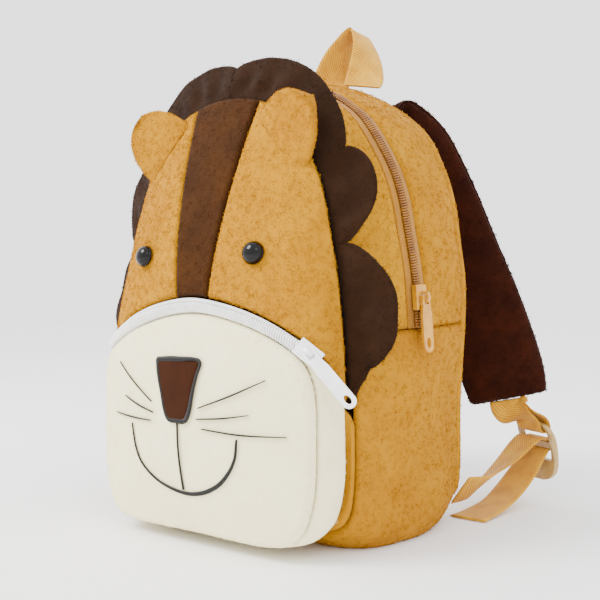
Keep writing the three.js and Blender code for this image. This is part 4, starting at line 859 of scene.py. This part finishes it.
def build_ears():
    """Stuffed half-round ears, cupped forward and sewn into the face with a gathered foot."""
    seat, along, stand, flat = ear_frame()
    share = np.sin(np.linspace(0, 1, 40) * np.pi / 2)
    points = seat + stand * (share * (EAR_REACH + EAR_ROOT) - EAR_ROOT)[:, None]
    taper = np.sqrt(np.maximum(1 - share**EAR_TAPER, 0.0008))
    angle = round_turn(44)[None, :]
    wide = EAR_WIDTH / 2 * taper[:, None] * np.cos(angle)
    cup = EAR_CUP * share[:, None] * np.sin(angle) ** 2
    body = np.abs(np.sin(angle)) ** 0.85 * np.sign(np.sin(angle))
    pleat = 1 - EAR_PLEAT_DEPTH * np.exp(-share[:, None] * 6) * np.cos(angle * EAR_PLEATS) ** 2
    thick = (EAR_THICKNESS / 2 - 1) * (0.35 + 0.65 * taper[:, None]) * body * pleat
    ones = np.ones((len(share), 1))
    section = np.stack([wide, thick + cup], -1)
    ear = swept("stuffed_ear_right", points, along * ones, flat * ones, section)
    for obj in plush_pair(ear, "golden_plush", "ear", 15, density=1.7, width=0.5):
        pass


def build_mane():
    """Flat double layer of dark fleece in scallops, with a stitched line along its edge."""
    place, reach = [], []
    for n, (start, end, root_a, root_b, crest) in enumerate(MANE_LOBES):
        steps = SCALLOP_STEPS if crest else MANE_TAIL_STEPS
        share = (1 - np.cos(np.linspace(0 if n == 0 else 1 / steps, 1, steps) * np.pi)) / 2
        place.append(lerp(start, end, share))
        reach.append(MANE_REACH * (lerp(root_a, root_b, share) + crest * np.sin(share * np.pi) ** 0.62))
    place, reach = np.concatenate(place), np.concatenate(reach)
    place[0] -= 0.02
    x, z, _ = body_outline(place, np.zeros_like(place))
    out = outline_outward(place, np.zeros_like(place))
    radial = lerp(-MANE_TUCK, reach[:, None], np.linspace(0, 1, 18)[None, :])
    base = stack(x, FRONT_Y - SEAM_GAP - MANE_THICKNESS, z)[:, None]
    points = base + out[:, None] * radial[..., None] * MANE_STRETCH
    points[..., 1] += np.maximum(radial, 0) * MANE_LEAN
    crease = np.sin(place[:, None] * MANE_CREASES + 1.5 * noise(points, 30, 9))
    wave = noise(points, 20, 6) * MANE_WAVE + crease * MANE_CREASE * np.exp(-np.abs(radial - 9) / 12)
    wave = wave * np.clip(radial / 6, 0, 1)
    edge = np.minimum((reach[:, None] - radial), MANE_HEM) / MANE_HEM
    half = MANE_THICKNESS / 2
    puff = half * np.sqrt(np.clip(1 - (1 - edge) ** 2, 0.05, 1))
    line = np.exp(-((reach[:, None] - radial - MANE_STITCH) / 0.5) ** 2) * STITCH_DEPTH
    front, back = points.copy(), points.copy()
    front[..., 1] += half + wave - puff + line
    back[..., 1] += half + wave + puff - line
    mane = mesh_of("mane_cloth_right", np.concatenate([front, back]).reshape(-1, 3),
                   sheet_faces(*points.shape[:2]))
    turned_outwards(mane)
    corner = points[:-1, :-1]
    area = np.linalg.norm(np.cross(points[1:, :-1] - corner, points[:-1, 1:] - corner), axis=-1).sum()
    area *= MM * MM
    pair = plush_pair(mane, "mane_cloth", "mane", 17, density=1.4, length=0.9, width=0.45, lean=1)


def pad_line(place):
    row = along_rows(PAD, place)
    y = BACK_FACE + PAD_SEAT + row["out"] * PAD_STAND_OFF
    return stack(row["side"] * BACK_HALF, y, row["height"] * BACK_HEIGHT), row


def pad_frames(count):
    last = len(PAD["side"]) - 1
    place = np.linspace(0, last, count)
    points, row = pad_line(place)
    run = unit(pad_line(np.minimum(place + 0.02, last))[0] - pad_line(np.maximum(place - 0.02, 0))[0])
    turn = np.radians(row["turn"])
    across = stack(np.cos(turn), np.sin(turn), 0)
    across = unit(across - run * (across * run).sum(-1, keepdims=True))
    return points, across, np.cross(run, across), run, row


def build_pads():
    """Stuffed pads with a crowned section and a seam groove along each edge."""
    points, across, up, _, row = pad_frames(PAD_STEPS)
    angle = round_turn(64)[None, :]
    c, s = np.cos(angle), np.sin(angle)
    wide = (PAD_WIDTH / 2 - 1) * row["broad"][:, None] * np.sign(c) * np.abs(c) ** 0.6
    seam = 1 - 0.16 * np.exp(-(s / 0.1) ** 2)
    thick = (PAD_THICKNESS / 2 - 0.8) * row["thick"][:, None] * np.sign(s) * np.abs(s) ** 0.75
    share = np.linspace(0, 1, PAD_STEPS)
    end = np.minimum(share, share[::-1])[:, None]
    rounding = np.sqrt(np.clip(1 - (1 - np.clip(end / 0.035, 0, 1)) ** 2, 0.03, 1))
    narrow = lerp(0.86, 1, rounding)
    puff = 1 + 0.07 * noise(points, 17, 8)[:, None] * np.abs(s)
    section = np.stack([wide * seam * narrow, thick * rounding * puff], -1)
    pad = swept("padded_strap_right", points, across, up, section)
    for obj in plush_pair(pad, "pad_plush", "shoulder_pad", 19, density=1.1, length=1.4, lean=0.9):
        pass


def webbing(name, points, widths, count):
    """A flat woven strap through some points, its ribs read from the weave attribute."""
    path = smooth_path(points, count)
    turns = smooth_path(widths, count)
    run = unit(np.gradient(path, axis=0))
    across = unit(turns - run * (turns * run).sum(-1, keepdims=True))
    up = np.cross(run, across)
    s = np.linspace(-1, 1, 15)
    profile = np.where(np.abs(s) > 0.93, 0.75, 1.0) * np.sqrt(np.clip(1.0 - np.abs(s) ** 40, 0.1, 1))
    half, wide = WEB_THICKNESS / 2 * profile, s * WEB_WIDTH / 2
    along = run_along(path)
    slanted = along[:, None] + np.abs(s)[None] * RIB_SLANT
    rib = RIB_HEIGHT * np.sin(2 * np.pi * slanted / RIB_PITCH) * (np.abs(s)[None] < 0.9)
    top = np.stack([np.broadcast_to(wide, rib.shape), half + rib - RIB_HEIGHT], -1)
    bottom = np.stack([np.broadcast_to(wide[::-1], rib.shape), -half[::-1] - rib + RIB_HEIGHT], -1)
    obj = swept(name, path, across, up, np.concatenate([top, bottom], 1))
    weave = np.zeros((len(obj.data.vertices), 3), np.float32)
    columns = np.concatenate([wide, wide[::-1]])
    weave[: count * len(columns), 0] = np.tile(columns, count)
    weave[: count * len(columns), 1] = np.repeat(along, len(columns))
    set_weave(obj, weave)
    return obj


def pad_end():
    """Place of the pad's lower end, with its directions across, up and along."""
    points, across, up, run, _ = pad_frames(5)
    return points[-1], across[-1], up[-1], run[-1]


def buckle_frame():
    along = unit(BUCKLE_ALONG)
    up = unit(BUCKLE_UP - along * (BUCKLE_UP @ along))
    return pad_end()[0] + BUCKLE_DROP, along, up, np.cross(along, up)


def at_buckle(rise, out):
    point, _, up, away = buckle_frame()
    share = (min(max(rise, BUCKLE_LOW), BUCKLE_HIGH) - (BUCKLE_HIGH + BUCKLE_LOW) / 2)
    share = share / ((BUCKLE_HIGH - BUCKLE_LOW) / 2)
    return point + up * rise + away * (out - BUCKLE_CURVE * (1 - share * share))


def pad_webbing():
    end, across, up, run = pad_end()
    under = SLOT_EDGE - WEB_THICKNESS / 2 - 0.5
    sewn, apart, straight = end + run * 2 * SEAM_GAP, up * (WEB_THICKNESS / 2 + 0.3), run * 5
    there = [(BUCKLE_HIGH + 2, -1), (SLOT_EDGE + 1, -1), (under, -0.5)]
    back = [(rise, -share) for rise, share in reversed(there)]
    loop = [at_buckle(rise, share * BAR_CLEARANCE) for rise, share in there + back]
    path = [sewn - apart, sewn - apart + straight, *loop, sewn + apart + straight, sewn + apart]
    widths = [across] * 2 + [buckle_frame()[1]] * len(loop) + [across] * 2
    return webbing("pad_loop_right", path, widths, 110)


def strap_point(side, out, height, turn, rise):
    point = np.array((side * BACK_HALF, BACK_FACE + PAD_SEAT + out * PAD_STAND_OFF, height * BACK_HEIGHT))
    turn, rise = math.radians(turn), math.radians(rise)
    flat = math.cos(rise)
    return point, np.array((flat * math.cos(turn), flat * math.sin(turn), math.sin(rise)))


def lower_strap():
    slot_high = BUCKLE_BAR / 2 + WEB_THICKNESS / 2 + 0.5
    along = buckle_frame()[1]
    through = [(slot_high + 1.5, 1.6), (slot_high, 0.4), (slot_high * 0.9, -0.8), (0, -1.15),
               (-slot_high * 0.9, -0.8), (-slot_high, 0.4), (-slot_high - 4, 1.6)]
    rows = [strap_point(*row) for row in FIXED_ROWS]
    rows += [(at_buckle(rise, out * BAR_CLEARANCE), along) for rise, out in through]
    rows += [strap_point(*row) for row in TAIL_ROWS]
    return webbing("bottom_strap_right", *zip(*rows), 200)


def hand_loop():
    base_y, base_z = BACK_Y + SEAM_GAP + BACK_PADDING * 0.75, BACK_HEIGHT + HANDLE_SEAT
    points = [(side * HANDLE_SPREAD, base_y + back * HANDLE_LEAN, base_z + rise * HANDLE_HEIGHT)
              for side, back, rise, _ in HANDLE_ROWS]
    widths = [(math.cos(math.radians(turn)), math.sin(math.radians(turn)), 0) for *_, turn in HANDLE_ROWS]
    return webbing("hand_loop_strap", points, widths, 140)


def build_straps():
    finished(hand_loop(), "webbing", ["handle_loop"])
    for strap, node in ((pad_webbing(), "pad_webbing"), (lower_strap(), "lower_strap")):
        finished(mirrored(strap), "webbing", [node + "_left"])
        finished(strap, "webbing", [node + "_right"])


def zip_coil(name, skin, share, span, height, slot, node):
    """Coil loops across a zip, dipping over its middle, where the two halves meet."""
    places, same = np.linspace(*span, 900), np.full(900, share)
    line = skin(places, same)
    step = 0.02
    out = unit(np.cross(skin(places, same + step / 4) - line, skin(places + step, same) - line))
    run = run_along(line)
    turns = int(run[-1] / COIL_PITCH)
    at = (np.arange(turns) + 0.5) * COIL_PITCH
    middle = np.stack([np.interp(at, run, line[:, k]) for k in range(3)], -1)
    normal = unit(np.stack([np.interp(at, run, out[:, k]) for k in range(3)], -1))
    along = unit(np.gradient(middle, axis=0))
    across = np.cross(along, normal)
    arc = np.linspace(0, 1, 9)
    x = lerp(-COIL_WIDTH / 2, COIL_WIDTH / 2, arc)
    crown = (COIL_HEIGHT - 0.75) * np.sin(arc * np.pi) ** 0.5
    y = height + 0.35 + crown - COIL_DIP * np.exp(-((x) / 0.5) ** 2)
    path = (middle[:, None] + across[:, None] * x[None, :, None] + normal[:, None] * y[None, :, None]
            + along[:, None] * (COIL_SLANT * np.sign(x) * COIL_PITCH)[None, :, None])
    corner = np.array([(math.cos(a), math.sin(a)) for a in np.arange(6) * np.pi / 3]) * COIL_PITCH * 0.4
    coil = short_bars(name, path, along, normal, corner)
    turned_outwards(coil)
    return finished(coil, slot, [node])


def tape(name, skin, span, share, sink, slot, node):
    strip = cloth_panel(name, skin, span, share, 1.6, -1, TAPE_THICKNESS, roll=0.4, ripple=0.15, sink=sink)
    set_weave(strip, mesh_triangles(strip.data)[0] / MM)
    return finished(strip, slot, [node])


def build_zips():
    zip_half = ZIP_OPENING / 2 / (BACK_Y - FRONT_Y) - 0.004
    tape("main_tape", body_skin, TOP_SPAN, (ZIP_PLACE - zip_half, ZIP_PLACE + zip_half), TAPE_SINK,
         "golden_tape", "main_zip_tape")
    zip_coil("main_coil", body_skin, ZIP_PLACE, (TOP_SPAN[0] + 0.02, TOP_SPAN[1] - 0.02),
             SEAM_GAP - TAPE_SINK, "golden_zip_plastic", "main_zip_coil")
    arch = (POCKET_ZIP_ROW + 0.03, 2 * ARCH_ROW - POCKET_ZIP_ROW - 0.03)
    tape("pocket_tape", muzzle_side, arch, (0, 1), 0, "white_tape", "pocket_zip_tape")
    zip_coil("pocket_coil", muzzle_side, 0.5, (arch[0] + 0.03, arch[1] - 0.03), SEAM_GAP + 0.2,
             "white_zip_plastic", "pocket_zip_coil")


def keep_hard_nodes():
    """Sliders, pulls and buckles keep their CAD meshes, with softened edges and their own finish."""
    pairs = (("main_zip_slider", "main_zip_pull", "golden_zip_metal"),
             ("pocket_zip_slider", "pocket_zip_pull", "white_zip_metal"),
             ("buckle_right", "buckle_left", "buckle_plastic"))
    for node, slot in [(node, slot) for *nodes, slot in pairs for node in nodes]:
        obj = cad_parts[node]
        obj.data.materials.clear()
        obj.data.materials.append(MATERIALS[slot])
        bevel = obj.modifiers.new("soft edges", "BEVEL")
        bevel.width = (0.9 if "buckle" in node else 0.35) * MM
        bevel.segments = 3
        bevel.angle_limit = math.radians(40)
        bevel.harden_normals = True


# Camera, as found from the photograph's symmetric pairs: focal length for a 600 pixel frame
CAMERA_PLACE = (353.1, -449.4, 141.7)
CAMERA_TURN, CAMERA_PITCH, FOCAL_PIXELS, FRAME_PIXELS, SENSOR_WIDTH = 37.6, 0.63, 912, 600, 36

# Lights in metres, and half the side of the floor in millimetres
LIGHT_AIM, LIGHT_SIZE, SKY_STRENGTH, FLOOR_HALF = (0, 0, 0.13), 0.7, 2.4, 4000


def build_camera():
    data = bpy.data.cameras.new("camera")
    camera = placed("camera", data)
    data.sensor_width = SENSOR_WIDTH
    data.lens = SENSOR_WIDTH * FOCAL_PIXELS / FRAME_PIXELS
    camera.location = Vector(CAMERA_PLACE) * MM
    camera.rotation_euler = (math.radians(90 - CAMERA_PITCH), 0, math.radians(CAMERA_TURN))
    bpy.context.scene.camera = camera


def area_light(name, place, power):
    """A square light aimed at the bag, its place in metres."""
    data = bpy.data.lights.new(name, "AREA")
    data.size, data.energy = LIGHT_SIZE, power
    light = placed(name, data)
    light.location = place
    aim = Vector(LIGHT_AIM) - light.location
    light.rotation_euler = aim.to_track_quat("-Z", "Y").to_euler()


def build_stage():
    corners = np.array([(-1, -1, 0), (1, -1, 0), (1, 1, 0), (-1, 1, 0)]) * FLOOR_HALF
    floor = mesh_of("floor", corners, [np.array([(0, 1, 2, 3)])])
    material, tree, shader = new_material("floor", 0.8)
    pale = ramp_between(tree, noise_node(tree, 400), linear(250, 250, 250), linear(253, 253, 253))
    tree.links.new(pale, shader.inputs["Base Color"])
    floor.data.materials.append(material)
    world = bpy.data.worlds.new("studio")
    world.use_nodes = True
    sky = world.node_tree.nodes["Background"]
    sky.inputs["Color"].default_value = (1, 1, 1, 1)
    sky.inputs["Strength"].default_value = SKY_STRENGTH
    bpy.context.scene.world = world
    area_light("key", (-0.7, -1.1, 1.4), 44)
    area_light("side", (1.2, -0.9, 1.3), 5)


for build in (build_body, build_face, build_eyes, build_muzzle, build_nose, build_ears, build_mane,
              build_pads, build_straps, build_zips, keep_hard_nodes, build_camera, build_stage):
    build()
